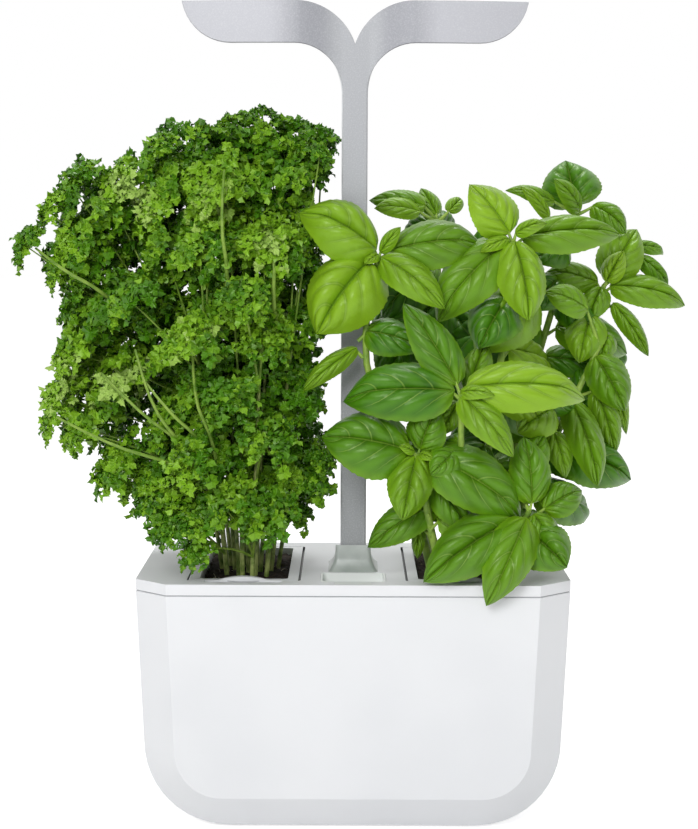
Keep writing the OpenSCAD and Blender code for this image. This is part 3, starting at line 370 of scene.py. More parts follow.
finishes = {
    "pot_plastic": whitePlastic("potWhite"),
    "deck_plastic": whitePlastic("deckWhite", paintedShade=True),
    "inner_plastic": whitePlastic("innerWhite"),
    "lamp_white": whitePlastic("coverWhite"),
    "frosted_plastic": frostedPlastic("frosted"),
    "silver_finish": silverPaint("silverPaint"),
    "pad_rubber": plainPlastic("padRubber", (0.03, 0.03, 0.032, 1), 0.85),
    "glide_plastic": plainPlastic("glideStrip", (0.05, 0.05, 0.055, 1), 0.4),
    "screw_steel": plainPlastic("screwSteel", (0.5, 0.51, 0.53, 1), 0.3, metallic=1.0),
    "pod_plastic": plainPlastic("podWall", (0.05, 0.05, 0.045, 1), 0.7),
    "growing_plug": fibrous("soil", (0.05, 0.032, 0.02, 1), (0.012, 0.008, 0.006, 1)),
    "wick_felt": fibrous("wickFelt", (0.75, 0.72, 0.64, 1), (0.55, 0.52, 0.45, 1), 900),
    "board_white": plainPlastic("boardMask", (0.85, 0.85, 0.82, 1), 0.35),
    "driver_green": plainPlastic("driverMask", (0.03, 0.16, 0.07, 1), 0.35),
    "led_phosphor": plainPlastic("phosphor", (0.85, 0.62, 0.12, 1), 0.3),
    "diffuser_plastic": plainPlastic("milkyTray", (0.82, 0.83, 0.82, 1), 0.25),
    "black_plastic": plainPlastic("inletBlack", (0.015, 0.015, 0.017, 1), 0.45),
    "pin_brass": plainPlastic("pinBrass", (0.75, 0.55, 0.22, 1), 0.22, metallic=1.0),
    "cap_grey": plainPlastic("capGrey", (0.2, 0.2, 0.21, 1), 0.5),
    "float_foam": plainPlastic("floatFoam", (0.72, 0.16, 0.06, 1), 0.6),
}
slotOf = {s["node"]: s["material_slot"] for s in frame["record"]["subparts"]}


for nodeName in frame["nodes"]:
    if slotOf[nodeName] in finishes:
        materials = frame["nodes"][nodeName].data.materials
        materials.clear()
        materials.append(finishes[slotOf[nodeName]])
# the funnel and the window get a lighter copy: painted light against the shade of their recess
frostedLitCopy = frostedPlastic("frostedPaintedLight", paintedLight=1.0)
for nodeName in ("fill_funnel", "level_window"):
    frame["nodes"][nodeName].data.materials[0] = frostedLitCopy
print("stage: finishes")


# the corners of a mesh, one row each
def points(mesh):
    flat = np.empty(len(mesh.vertices) * 3, dtype=np.float32)
    mesh.vertices.foreach_get("co", flat)
    return flat.reshape(-1, 3).astype(float)


def pickOnly(*pieces):
    deselectAll()
    for piece in pieces:
        piece.select_set(True)
    bpy.context.view_layer.objects.active = pieces[0]


# smooth copies of the moulded shells, with their edges eased: body, width in mm, least angle
edgeEase = {
    "outer_pot": ("pot", 0.9, 24), "deck_cover": ("deck", 0.45, 30), "mast_collar": ("deck", 0.5, 40),
    "fill_funnel": ("deck", 0.35, 40), "level_window": ("deck", 0.3, 40), "lamp_shell": ("lamp", 0.45, 35),
    "lamp_cover": ("lamp", 0.4, 35), "basket_left": ("deck", 0.35, 40), "basket_right": ("deck", 0.35, 40),
    "foot_pads": ("pot", 0.3, 30), "power_button": ("button", 0.4, 40), "float_guide": ("deck", 0.2, 40),
    "water_float": ("float", 0.5, 40),
}
# lengths in mm and angles in degrees; a ring has many corners and a small area for its outline
shellWork = {
    "merge": 0.02, "flat": 0.6, "segments": 2, "smooth": 32, "ringCorners": 8, "ringShare": 0.006,
    "stemRoom": 0.2,
}
# the front faces lie before this depth in metres; the chamfer is in mm
silverEdge = {"front": -0.029, "width": 0.75, "proud": 0.45}


# picks faces by a rule, and stays in edit mode for the next tool
def pickFaces(copy, rule):
    bpy.ops.object.mode_set(mode="EDIT")
    bpy.ops.mesh.select_mode(type="FACE")
    bpy.ops.mesh.select_all(action="DESELECT")
    bpy.ops.object.mode_set(mode="OBJECT")
    for face in copy.data.polygons:
        face.select = bool(rule(face))
    bpy.ops.object.mode_set(mode="EDIT")


# the silver front gets a narrow chamfer, which shines above and is dark below, partly its own reflection and
# partly painted shade from the silver paint
def chamferFront(copy):
    pickFaces(copy, lambda face: face.normal.y < -0.5 and face.center.y < silverEdge["front"])
    width, proud = silverEdge["width"] * mm, silverEdge["proud"] * mm
    bpy.ops.mesh.inset(thickness=width, depth=proud, use_even_offset=True)
    bpy.ops.object.mode_set(mode="OBJECT")


# ring-shaped faces are cut into triangles, because a bevel would fold them over the opening
def cutRings(copy):
    spots = points(copy.data)

    def isRing(face):
        corners = spots[list(face.vertices)]
        around = np.linalg.norm(corners - np.roll(corners, 1, axis=0), axis=1).sum()
        return len(corners) > shellWork["ringCorners"] and face.area < shellWork["ringShare"] * around ** 2

    pickFaces(copy, isRing)
    bpy.ops.mesh.quads_convert_to_tris(quad_method="BEAUTY", ngon_method="BEAUTY")
    bpy.ops.object.mode_set(mode="OBJECT")


# the float's stem stops a hair below the window's flange
def lowerTop(mesh):
    top = max(v.co.z for v in mesh.vertices)
    for v in mesh.vertices:
        if v.co.z > top - mm:
            v.co.z -= shellWork["stemRoom"] * mm


def easedCopy(nodeName, bodyName, width, angle):
    source = frame["nodes"][nodeName]
    copy = source.copy()
    copy.data = source.data.copy()
    copy.name = "eased_" + nodeName
    bpy.context.collection.objects.link(copy)
    pickOnly(copy)
    bpy.ops.mesh.customdata_custom_splitnormals_clear()
    bpy.ops.object.mode_set(mode="EDIT")
    bpy.ops.mesh.select_all(action="SELECT")
    bpy.ops.mesh.remove_doubles(threshold=shellWork["merge"] * mm)
    bpy.ops.mesh.dissolve_limited(angle_limit=math.radians(shellWork["flat"]))
    bpy.ops.object.mode_set(mode="OBJECT")
    cutRings(copy)
    if nodeName == "lamp_shell":
        chamferFront(copy)
    ease = copy.modifiers.new("ease", "BEVEL")
    ease.width = width * mm
    ease.segments = shellWork["segments"]
    ease.limit_method = "ANGLE"
    ease.angle_limit = math.radians(angle)
    ease.miter_outer = "MITER_ARC"
    bpy.ops.object.modifier_apply(modifier="ease")
    bpy.ops.object.shade_smooth_by_angle(angle=math.radians(shellWork["smooth"]))
    if nodeName == "water_float":
        lowerTop(copy.data)
    weigh = copy.modifiers.new("weigh", "WEIGHTED_NORMAL")
    weigh.keep_sharp = True
    bpy.ops.object.modifier_apply(modifier="weigh")
    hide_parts(nodeName)
    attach(copy, bodyName)


for nodeName, (bodyName, width, angle) in edgeEase.items():
    easedCopy(nodeName, bodyName, width, angle)
print("stage: eased shells")


# tools for the plants

goldenTurn = 137.5  # degrees from one leaf or stalk to the next


def unit(v):
    return v / np.linalg.norm(v)


def movePoints(mesh, places):
    mesh.vertices.foreach_set("co", np.asarray(places, dtype=np.float32).ravel())
    mesh.update()


# each leaf or frond carries a tone: random tone plus painted light and painted shade
def setToneAndLight(mesh, value):
    layer = mesh.attributes.get("toneAndLight") or mesh.attributes.new("toneAndLight", "FLOAT", "POINT")
    layer.data.foreach_set("value", np.full(len(mesh.vertices), value, dtype=np.float32))


def addToneAndLight(mesh, value):
    toneAndLight = np.empty(len(mesh.vertices), dtype=np.float32)
    mesh.attributes["toneAndLight"].data.foreach_get("value", toneAndLight)
    mesh.attributes["toneAndLight"].data.foreach_set("value", np.clip(toneAndLight + value, 0, 1).astype(np.float32))


def ownCopy(master, name):
    copy = master.copy()
    copy.data = master.data.copy()
    copy.name = name
    bpy.context.collection.objects.link(copy)
    return copy


def joined(pieces, name):
    pickOnly(*pieces)
    bpy.ops.object.join()
    pieces[0].name = name
    return pieces[0]


def discard(pieces):
    pickOnly(*pieces)
    bpy.ops.object.delete()


def finishPiece(piece, material, nodeName, bodyName="deck", angle=60):
    piece.data.materials.clear()
    piece.data.materials.append(material)
    pickOnly(piece)
    bpy.ops.object.shade_smooth_by_angle(angle=math.radians(angle))
    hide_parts(nodeName)
    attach(piece, bodyName)


# one mesh of round stalks; each is a list of points in mm, a foot radius and a tip radius in mm
def stalkPiece(name, stalks, sides=2):
    curve = bpy.data.curves.new(name, "CURVE")
    curve.dimensions = "3D"
    curve.bevel_depth = mm
    curve.bevel_resolution = sides
    curve.use_fill_caps = True
    curve.resolution_u = 3
    for path, footRadius, tipRadius in stalks:
        line = curve.splines.new("NURBS")
        line.points.add(len(path) - 1)
        for i, (point, place) in enumerate(zip(line.points, path)):
            point.co = (*(np.asarray(place) * mm), 1)
            point.radius = footRadius + (tipRadius - footRadius) * i / (len(path) - 1)
        line.order_u = min(3, len(path))
        line.use_endpoint_u = True
    piece = bpy.data.objects.new(name, curve)
    bpy.context.collection.objects.link(piece)
    pickOnly(piece)
    bpy.ops.object.convert(target="MESH")
    return bpy.context.object


def onStem(stem, z):
    for low, high in zip(stem, stem[1:]):
        if z < high[2] or high is stem[-1]:
            share = min(1.0, max(0.0, (z - low[2]) / (high[2] - low[2])))
            return np.array(low, float) + share * (np.array(high, float) - np.array(low, float))


# a table holds places across and up, a reach, and how much lighter or darker it is there, as painted light
# for positive amounts and painted shade for negative ones
def sunOn(spot, table):
    return sum(light * max(0.0, 1 - math.hypot(spot[0] - x, spot[2] - z) / reach) ** 0.5
               for x, z, reach, light in table)


# growing plugs, in mm

soil = {
    "middle": (73.0, -1.0), "width": 55.6, "length": 126.6, "foot": 104.0, "top": 164.4,
    "columns": 34, "rows": 76, "lumps": 2.4, "broad": 0.13, "fine": 0.4, "fineShare": 0.6,
}
rootHair = {
    "count": 26, "across": (-24, 24), "along": (-60, 30), "reach": (3, 7), "arch": (1.0, 3.5),
    "end": (-0.5, 2.5), "sink": 1.5, "above": 0.3, "radii": (0.28, 0.14),
    "pale": (0.55, 0.50, 0.38, 1), "deep": (0.3, 0.26, 0.18, 1),
}


def lumpAt(x, y, side):
    broad, fine = soil["broad"], soil["fine"]
    return (noise.noise((x * broad, y * broad, side * 9.0))
            + soil["fineShare"] * noise.noise((x * fine, y * fine, 3.0)))


def hairLines(side):
    rng = random.Random(31 + side)
    hairs = []
    for _ in range(rootHair["count"]):
        x = side * soil["middle"][0] + rng.uniform(*rootHair["across"])
        place = np.array((x, rng.uniform(*rootHair["along"]), soil["top"] + rootHair["above"]))
        turn, reach = rng.uniform(0, 6.28), rng.uniform(*rootHair["reach"])
        step = np.array((math.cos(turn), math.sin(turn), 0)) * reach
        middle = place + step * 0.5 + (0, 0, rng.uniform(*rootHair["arch"]))
        end = place + step + (0, 0, rng.uniform(*rootHair["end"]))
        hairs.append(([place - (0, 0, rootHair["sink"]), middle, end], *rootHair["radii"]))
    return hairs


# a lumpy plug of growing medium with a few pale root hairs
def layDirt(side, nodeName):
    deselectAll()
    columns, rows = soil["columns"], soil["rows"]
    bpy.ops.mesh.primitive_grid_add(x_subdivisions=columns, y_subdivisions=rows, size=2, location=(0, 0, 0))
    plug = bpy.context.object
    plug.name = "dirt_" + nodeName
    bpy.ops.object.mode_set(mode="EDIT")
    bpy.ops.mesh.select_all(action="SELECT")
    bpy.ops.mesh.extrude_region_move(TRANSFORM_OT_translate={"value": (0, 0, -1)})
    bpy.ops.object.mode_set(mode="OBJECT")
    places = points(plug.data)
    x = side * soil["middle"][0] + places[:, 0] * soil["width"] / 2
    y = soil["middle"][1] + places[:, 1] * soil["length"] / 2
    upper = places[:, 2] > -0.5
    lumps = np.array([lumpAt(a, b, side) for a, b in zip(x, y)])
    z = np.where(upper, soil["top"] + soil["lumps"] * lumps, soil["foot"])
    movePoints(plug.data, np.stack([x, y, z], 1) * mm)
    pickOnly(plug)
    bpy.ops.object.mode_set(mode="EDIT")
    bpy.ops.mesh.select_all(action="SELECT")
    bpy.ops.mesh.normals_make_consistent(inside=False)
    bpy.ops.object.mode_set(mode="OBJECT")
    finishPiece(plug, finishes["growing_plug"], nodeName, angle=50)
    hairs = stalkPiece("hairs_" + nodeName, hairLines(side), sides=1)
    hairPaint = fibrous("rootHair" + nodeName, rootHair["pale"], rootHair["deep"])
    finishPiece(hairs, hairPaint, nodeName)


layDirt(-1, "substrate_left")
layDirt(1, "substrate_right")
print("stage: growing plugs")


# basil, in mm

basil = {
    "soilTop": 158.6, "columns": 16, "rows": 30, "thickness": 0.45, "arch": 0.12,
    "blunt": 0.58, "pointed": 0.22, "widest": 0.74, "teeth": 75, "toothDepth": 0.02, "wave": 0.02,
    "puff": 0.10, "drop": 0.20, "groove": 0.05, "quilt": 0.07,
    "veins": 4.0, "sweep": 0.46, "bend": 1.45, "stagger": 0.25,
    "twistFrom": 0.3, "curlFrom": 0.72, "curlBend": 1.6,
}
basilStems = (
    ((56, -30, 158.6), (45, -44, 208), (20, -54, 273), (2, -52, 329), (16, -48, 383)),
    ((84, -15, 158.6), (92, -28, 263), (104, -38, 343), (106, -43, 395)),
    ((92, 15, 158.6), (125, 28, 243), (160, 26, 323), (176, 24, 363)),
    ((70, -45, 158.6), (72, -70, 228), (70, -82, 295)), ((62, -50, 158.6), (50, -72, 208), (41, -79, 255)),
    ((88, -45, 158.6), (106, -66, 188), (116, -75, 216)),
    ((90, 5, 158.6), (120, 16, 283), (145, 22, 363), (156, 25, 415)),
    ((66, 15, 158.6), (62, 20, 283), (58, 26, 408)),
    ((92, -12, 158.6), (132, -12, 243), (170, 0, 321)), ((80, 40, 158.6), (90, 62, 273), (96, 66, 378)),
    ((60, 45, 158.6), (40, 64, 263), (34, 62, 348)), ((90, 40, 158.6), (140, 60, 243), (172, 58, 318)),
)
# the leaves that can be told apart: stem, foot, tip, width
basilLeaves = (
    (0, (15, -47, 388), (-34, -53, 415), 40), (0, (10, -48, 381), (-25, -64, 333), 50),
    (0, (24, -46, 388), (86, -44, 394), 34), (0, (18, -50, 383), (60, -64, 350), 26),
    (0, (17, -50, 386), (30, -58, 403), 10), (0, (16, -50, 385), (7, -60, 379), 8),
    (0, (2, -52, 323), (-34, -60, 295), 14), (7, (50, 18, 418), (10, 26, 423), 20),
    (7, (46, 14, 414), (14, 12, 417), 16), (7, (58, 28, 412), (47, 40, 431), 14),
    (7, (66, 30, 414), (77, 40, 424), 11),
    (1, (104, -42, 399), (77, -41, 432), 32), (1, (107, -46, 394), (116, -66, 343), 33),
    (1, (102, -41, 394), (54, -52, 343), 37), (1, (112, -36, 397), (181, -22, 400), 28),
    (1, (107, -46, 399), (127, -50, 407), 11), (1, (103, -46, 396), (84, -54, 388), 10),
    (1, (120, -30, 361), (83, -48, 321), 42), (1, (92, -40, 303), (130, -48, 271), 28),
    (6, (156, 30, 418), (150, 44, 451), 40), (6, (158, 24, 414), (139, 12, 437), 16),
    (6, (141, 25, 421), (107, 20, 431), 13), (6, (136, 16, 410), (116, 10, 432), 11),
    (6, (167, 25, 419), (191, 20, 401), 20), (2, (179, 29, 367), (200, 36, 403), 31),
    (2, (177, 23, 365), (188, 18, 387), 16), (2, (180, 26, 363), (236, 34, 350), 24),
    (2, (174, 22, 362), (163, 10, 338), 19), (2, (172, 26, 365), (136, 20, 374), 22),
    (2, (165, 12, 343), (156, -5, 311), 28), (2, (176, 14, 331), (171, 0, 311), 19),
    (2, (182, 22, 351), (207, 15, 314), 14), (2, (200, 42, 391), (224, 54, 386), 11),
    (2, (202, 40, 383), (225, 44, 361), 14), (8, (161, -10, 347), (131, -16, 360), 22),
    (3, (66, -82, 297), (-8, -78, 293), 40), (3, (68, -79, 300), (33, -66, 354), 28),
    (3, (73, -82, 299), (155, -72, 295), 35), (3, (70, -85, 294), (104, -99, 256), 24),
    (3, (69, -85, 296), (91, -94, 295), 11), (3, (76, -60, 293), (88, -48, 327), 21),
    (3, (69, -66, 288), (57, -62, 265), 16), (4, (37, -77, 257), (-21, -75, 266), 46),
    (4, (43, -78, 257), (54, -80, 284), 26), (4, (41, -80, 254), (32, -94, 213), 29),
    (4, (40, -81, 256), (30, -88, 261), 7), (4, (43, -81, 255), (53, -88, 252), 7),
    (4, (46, -74, 255), (113, -78, 213), 39), (4, (54, -66, 235), (78, -72, 202), 24),
    (4, (54, -62, 220), (9, -66, 191), 25), (4, (45, -56, 205), (43, -52, 180), 9),
    (5, (118, -74, 221), (113, -66, 265), 27), (5, (119, -76, 215), (131, -84, 195), 18),
    (5, (126, -70, 217), (153, -62, 230), 23), (5, (114, -80, 213), (87, -104, 159), 31),
    (5, (106, -76, 211), (46, -98, 174), 38), (5, (110, -60, 235), (128, -50, 265), 24),
    (8, (167, -5, 315), (187, -15, 278), 28), (8, (178, 6, 313), (191, 5, 259), 12),
    (8, (168, 0, 293), (182, -5, 246), 19), (8, (148, -18, 287), (167, -35, 228), 24),
    (8, (136, -28, 265), (145, -38, 235), 18), (8, (134, -38, 281), (110, -52, 267), 28),
    (7, (60, 34, 407), (72, 64, 399), 30), (7, (54, 33, 406), (36, 58, 393), 28),
    (9, (100, 70, 379), (126, 92, 369), 34), (9, (92, 70, 378), (70, 100, 362), 32),
    (9, (96, 62, 382), (92, 42, 401), 26), (9, (93, 68, 315), (118, 103, 299), 34),
    (10, (38, 66, 349), (62, 88, 341), 32), (10, (30, 66, 348), (14, 90, 333), 28),
    (11, (176, 61, 319), (202, 76, 309), 28), (11, (168, 63, 319), (152, 90, 307), 32),
)


# leaves keep this far from the lamp's mast
mastRoom = {"half": 14.85, "front": -36.5, "back": 6.5}
fillRule = {
    "pairs": 2, "first": 0.3, "foot": 45, "head": 10, "size": 48, "change": 14, "changeTurn": 97,
    "squash": 0.8, "back": 0.35, "stalk": 6, "droop": 0.35, "width": 0.58, "room": 0.3,
    "across": (22, 205), "deep": 104,
}


def clearOfMast(spot, room):
    beside = abs(spot[0]) > mastRoom["half"] + room
    return beside or spot[1] < mastRoom["front"] - room or spot[1] > mastRoom["back"] + room


# more pairs of leaves up each stem, each turned from the pair below
def basilFill():
    rows = []
    left, right = fillRule["across"]
    for i, stem in enumerate(basilStems):
        foot, head = basil["soilTop"] + fillRule["foot"], stem[-1][2] - fillRule["head"]
        for k in range(fillRule["pairs"]):
            p = onStem(stem, foot + (head - foot) * (k + fillRule["first"]) / fillRule["pairs"])
            a = math.radians(goldenTurn * (i * fillRule["pairs"] + k))
            size = fillRule["size"]
            size += fillRule["change"] * math.sin(math.radians(fillRule["changeTurn"] * (i + 3 * k)))
            d = np.array((math.cos(a), fillRule["squash"] * math.sin(a) + fillRule["back"], 0))
            base = p + fillRule["stalk"] * d
            tip = p + (size + fillRule["stalk"]) * d + (0, 0, -fillRule["droop"] * size)
            clear = clearOfMast(base, 0) and clearOfMast(tip, size * fillRule["room"])
            if left < tip[0] < right and abs(tip[1]) < fillRule["deep"] and clear:
                rows.append((i, tuple(base), tuple(tip), fillRule["width"] * size))
    return rows


basilLeaves = basilLeaves + tuple(basilFill())
# painted light and shade where the photograph's leaves are lighter or darker: place across and up, reach, how
# much
basilSun = (
    (-10, 403, 26, 0.3), (-9, 353, 26, 0.55), (53, 396, 20, -0.05), (38, 368, 20, 0.25),
    (90, 414, 24, 0.45), (110, 370, 22, 0.3), (97, 340, 26, 0.2), (27, 296, 34, -0.3),
    (51, 330, 24, -0.05), (120, 301, 34, 0.55), (87, 270, 22, 0.2), (5, 260, 30, -0.1),
    (39, 230, 20, 0.15), (83, 233, 30, -0.12), (103, 178, 30, 0.15), (177, 380, 28, 0.5),
    (195, 358, 22, 0.45), (153, 330, 20, 0.4),
)
shadeRule = {
    "step": 26, "foot": 60, "head": 18, "place": (0.2, 0.8), "size": (40, 60), "squash": 0.7,
    "back": 0.3, "stalk": 5, "droop": (0.2, 0.6), "width": (0.56, 0.68),
    "across": (26, 200), "deep": (-60, 92), "mastSide": (40, 12),
}


# leaves inside the plant, which close its gaps; they are darker by painted shade
def basilShade():
    rng = random.Random(8)
    rows = []
    (left, right), (front, back) = shadeRule["across"], shadeRule["deep"]
    nearX, nearY = shadeRule["mastSide"]
    for i, stem in enumerate(basilStems):
        low, high = basil["soilTop"] + shadeRule["foot"], stem[-1][2] - shadeRule["head"]
        for k in range(int((high - low) / shadeRule["step"])):
            p = onStem(stem, low + (k + rng.uniform(*shadeRule["place"])) * shadeRule["step"])
            a = rng.uniform(0, 2 * math.pi)
            size = rng.uniform(*shadeRule["size"])
            d = np.array((math.cos(a), shadeRule["squash"] * math.sin(a) + shadeRule["back"], 0))
            base = p + shadeRule["stalk"] * d
            tip = p + (size + shadeRule["stalk"]) * d + (0, 0, -rng.uniform(*shadeRule["droop"]) * size)
            nearMast = tip[0] < nearX and tip[1] < nearY
            if left < tip[0] < right and front < tip[1] < back and not nearMast:
                rows.append((i, tuple(base), tuple(tip), rng.uniform(*shadeRule["width"]) * size))
    return rows


# larger leaves behind the front ones, darker by painted shade like those inside
basilBehind = (
    (7, (58, 20, 376), (18, 16, 342), 36), (7, (60, 20, 352), (20, 14, 316), 34),
    (7, (62, 22, 352), (86, 10, 320), 30), (9, (92, 62, 356), (64, 48, 328), 34),
    (6, (144, 20, 368), (122, 8, 346), 30), (6, (150, 24, 392), (124, 16, 380), 28),
    (9, (92, 64, 330), (58, 50, 300), 36), (10, (40, 62, 330), (22, 40, 290), 34),
)


# a leaf of unit length, quilted between its veins
def basilMaster(name, seed):
    rng = random.Random(seed)
    deselectAll()
    columns, rows = basil["columns"], basil["rows"]
    bpy.ops.mesh.primitive_grid_add(x_subdivisions=columns, y_subdivisions=rows, size=2, location=(0, 0, 0))
    leaf = bpy.context.object
    leaf.name = name
    places = points(leaf.data)
    u, v = places[:, 0], (places[:, 1] + 1) / 2
    width = np.abs(np.sin(np.pi * v ** basil["widest"])) ** (basil["blunt"] + basil["pointed"] * v ** 5)
    side = np.abs(u)
    beat = (v - basil["sweep"] * side ** basil["bend"]) * basil["veins"] + basil["stagger"] * (u > 0)
    pillow = np.abs(np.sin(np.pi * beat)) ** 0.7 * side ** 0.5 * (1 - side ** 4)
    wave = np.sin(v * rng.uniform(9, 14) + rng.uniform(0, 6)) * side ** 2 * np.sign(u + 0.001)
    puff = basil["puff"] * np.sin(np.pi * side ** 0.8)
    groove = basil["groove"] * np.exp(-(side / 0.08) ** 2)
    rise = width * (puff - basil["drop"] * side ** 2.2 - groove + basil["quilt"] * pillow)
    teeth = 1 + basil["toothDepth"] * np.sin(v * basil["teeth"]) * (side > 0.9)
    movePoints(leaf.data, np.stack([u * width * teeth, v, rise + basil["wave"] * wave], 1))
    return leaf


# lays a copy of the master from its base to its tip, in mm
def layLeaf(master, name, base, tip, width, facing, arch, twist, depth, curl, toneAndLight):
    leaf = ownCopy(master, name)
    base, tip = np.array(base, float), np.array(tip, float)
    along = tip - base
    across = unit(np.cross(along, facing))
    up = unit(np.cross(across, along))
    x, v, z = points(leaf.data).T
    roll = twist * (v - basil["twistFrom"])
    side = x * np.cos(roll) - z * depth * np.sin(roll)
    rise = x * np.sin(roll) + z * depth * np.cos(roll)
    length = np.linalg.norm(along)
    bow = length * arch * 4 * v * (1 - v)
    bow -= length * curl * np.clip(v - basil["curlFrom"], 0, 1) ** basil["curlBend"]
    places = base + np.outer(v, along) + np.outer(side * width / 2, across) + np.outer(rise * width + bow, up)
    movePoints(leaf.data, places * mm)
    setToneAndLight(leaf.data, toneAndLight)
    return leaf


basilLook = {
    "deep": (0.014, 0.085, 0.001, 1), "leaf": (0.075, 0.245, 0.003, 1), "young": (0.33, 0.56, 0.020, 1),
    "vein": (0.42, 0.62, 0.10, 1), "stem": (0.34, 0.50, 0.08, 1), "stemDark": (0.16, 0.30, 0.04, 1),
    "shine": (0.86, 1.0, 0.66, 1), "specular": 0.42, "coat": 0.06, "roughness": 0.25, "uneven": 0.22,
}


def basilPaint():
    look = Recipe("basilLeaf", specular=basilLook["specular"], coat=basilLook["coat"],
                  shine=basilLook["shine"])
    u, v, _ = look.split(look.node("ShaderNodeUVMap", {"uv_map": "UVMap"}))
    toneAndLight = look.node("ShaderNodeAttribute", {"attribute_name": "toneAndLight"}, output=2)
    side = abs(u * 2 - 1)
    beat = (v - basil["sweep"] * side ** basil["bend"]) * basil["veins"] + (u > 0.5) * basil["stagger"]
    near = look.node("ShaderNodeMath", {"operation": "FRACT"}, beat + 0.5)
    near = abs(near - 0.5)  # 0 on a vein, 0.5 between two
    fade = look.step(side, 0.92, 0.45)
    line = look.step(near, 0.045, 0.015) * fade
    shade = look.step(near, 0.13, 0.03) * fade
    rib = look.step(side, 0.035, 0.01)
    cloud = look.step(look.noise(45, 4), 0.3, 0.72)
    color = look.blend(cloud * 0.6, basilLook["deep"], basilLook["leaf"])
    # painted shade: near the veins the leaf stays darker and a dark band flanks each vein, the shade of its
    # creases; the vein lines are paler
    color = look.blend(look.step(near, 0.05, 0.45) * 0.4 + 0.2, color, basilLook["leaf"])
    # per leaf the colour turns toward young green by that tone: the real tone of small leaves plus painted
    # light and painted shade
    color = look.blend(toneAndLight * 0.9, color, basilLook["young"])
    pale = look.step(v, 0.22, 0.0) * 0.3 + look.step(side, 0.8, 1.0) * 0.2
    color = look.blend(pale, color, basilLook["young"])
    color = look.blend(shade * 0.34, color, basilLook["deep"])
    color = look.blend(line * 0.3 + rib * 0.45, color, basilLook["vein"])
    look.feed(Base_Color=color, Roughness=basilLook["roughness"] + basilLook["uneven"] * look.noise(160))
    quilt = look.step(near, 0.0, 0.3) * 0.5 * fade - rib * 0.4 + 0.1 * look.noise(420)
    return look.bump(quilt, 0.9, 0.0012).material


def stemPaint(name, color, dark):
    look = Recipe(name, roughness=0.45, specular=0.3)
    look.feed(Base_Color=look.blend(look.step(look.noise(120, 3), 0.35, 0.7), color, dark))
    return look.bump(look.noise(500, 3), 0.3, 0.0003).material


basilTone = {
    "start": 0.14, "small": (26, 0.5), "height": (200, 220, 0.2), "inside": 0.4, "depth": 260,
    "uneven": 0.08,
}
basilGrowth = {
    "wide": 1.06, "lean": 0.2, "lift": 0.55, "arch": (0.7, 1.4), "twist": 0.3, "depth": (0.7, 1.25),
    "curls": (0.3, 0.5, 1.1), "stem": (3.1, 1.9), "stalk": (1.5, 0.9), "below": 7, "sag": 1.5, "into": 0.04,
}


# small leaves are lighter; high and near leaves are lighter by painted light, and those inside or behind are
# darker by painted shade
def toneOf(rng, base, tip, width, inside):
    smallest, perSmall = basilTone["small"]
    low, span, perHeight = basilTone["height"]
    small = max(0.0, 1 - width / smallest)
    height = (base[2] - low) / span
    deep = max(0.0, (tip[1] + base[1]) / basilTone["depth"])
    tone = basilTone["start"] + perHeight * height + perSmall * small - basilTone["inside"] * inside - deep
    tone += rng.uniform(-basilTone["uneven"], basilTone["uneven"])
    if not inside:
        tone += sunOn((np.array(base, float) + np.array(tip, float)) / 2, basilSun)
    return min(1.0, max(0.0, tone))


def growBasil():
    rng = random.Random(5)
    masters = [basilMaster("basilMaster", seed) for seed in (3, 4, 6)]
    leaves = []
    shade = basilShade() + list(basilBehind)
    rows = [(row, 0.0) for row in basilLeaves] + [(row, 1.0) for row in shade]
    for i, ((_, base, tip, width), inside) in enumerate(rows):
        tone = toneOf(rng, base, tip, width, inside)
        facing = (rng.uniform(-basilGrowth["lean"], basilGrowth["lean"]), -1, basilGrowth["lift"])
        arch = basil["arch"] * rng.uniform(*basilGrowth["arch"])
        twist = rng.uniform(-basilGrowth["twist"], basilGrowth["twist"])
        depth = rng.uniform(*basilGrowth["depth"])
        curl = rng.choice(basilGrowth["curls"])
        leaves.append(layLeaf(masters[i % len(masters)], "basilLeaf", base, tip, width * basilGrowth["wide"],
                              facing, arch, twist, depth, curl, tone))
    discard(masters)
    paint = basilPaint()
    half = len(leaves) // 2
    for name, group in (("basilLeavesLow", leaves[:half]), ("basilLeavesHigh", leaves[half:])):
        foliage = joined(group, name)
        wall = foliage.modifiers.new("wall", "SOLIDIFY")
        wall.thickness = basil["thickness"] * mm
        wall.offset = -1
        bpy.ops.object.modifier_apply(modifier="wall")
        finishPiece(foliage, paint, "basil_plant")
    stalks = [(stem, *basilGrowth["stem"]) for stem in basilStems]
    for number, base, tip, _ in basilLeaves + tuple(shade):
        foot = onStem(basilStems[number], base[2] - basilGrowth["below"])
        base, tip = np.array(base, float), np.array(tip, float)
        middle = 0.5 * foot + 0.5 * base - (0, 0, basilGrowth["sag"])
        stalks.append(([foot, middle, base + basilGrowth["into"] * (tip - base)], *basilGrowth["stalk"]))
    stemSkin = stemPaint("basilStem", basilLook["stem"], basilLook["stemDark"])
    finishPiece(stalkPiece("basilStalks", stalks), stemSkin, "basil_plant")


growBasil()
print("stage: basil")


# parsley, in mm

parsley = {
    "soilTop": 158.6, "middle": -73.0, "stalkTop": 303.0, "stalkCount": 24, "foliagePieces": 6,
    "stalk": (1.7, 1.1), "fanStalk": (1.5, 0.8), "twig": (1.0, 0.5),
}
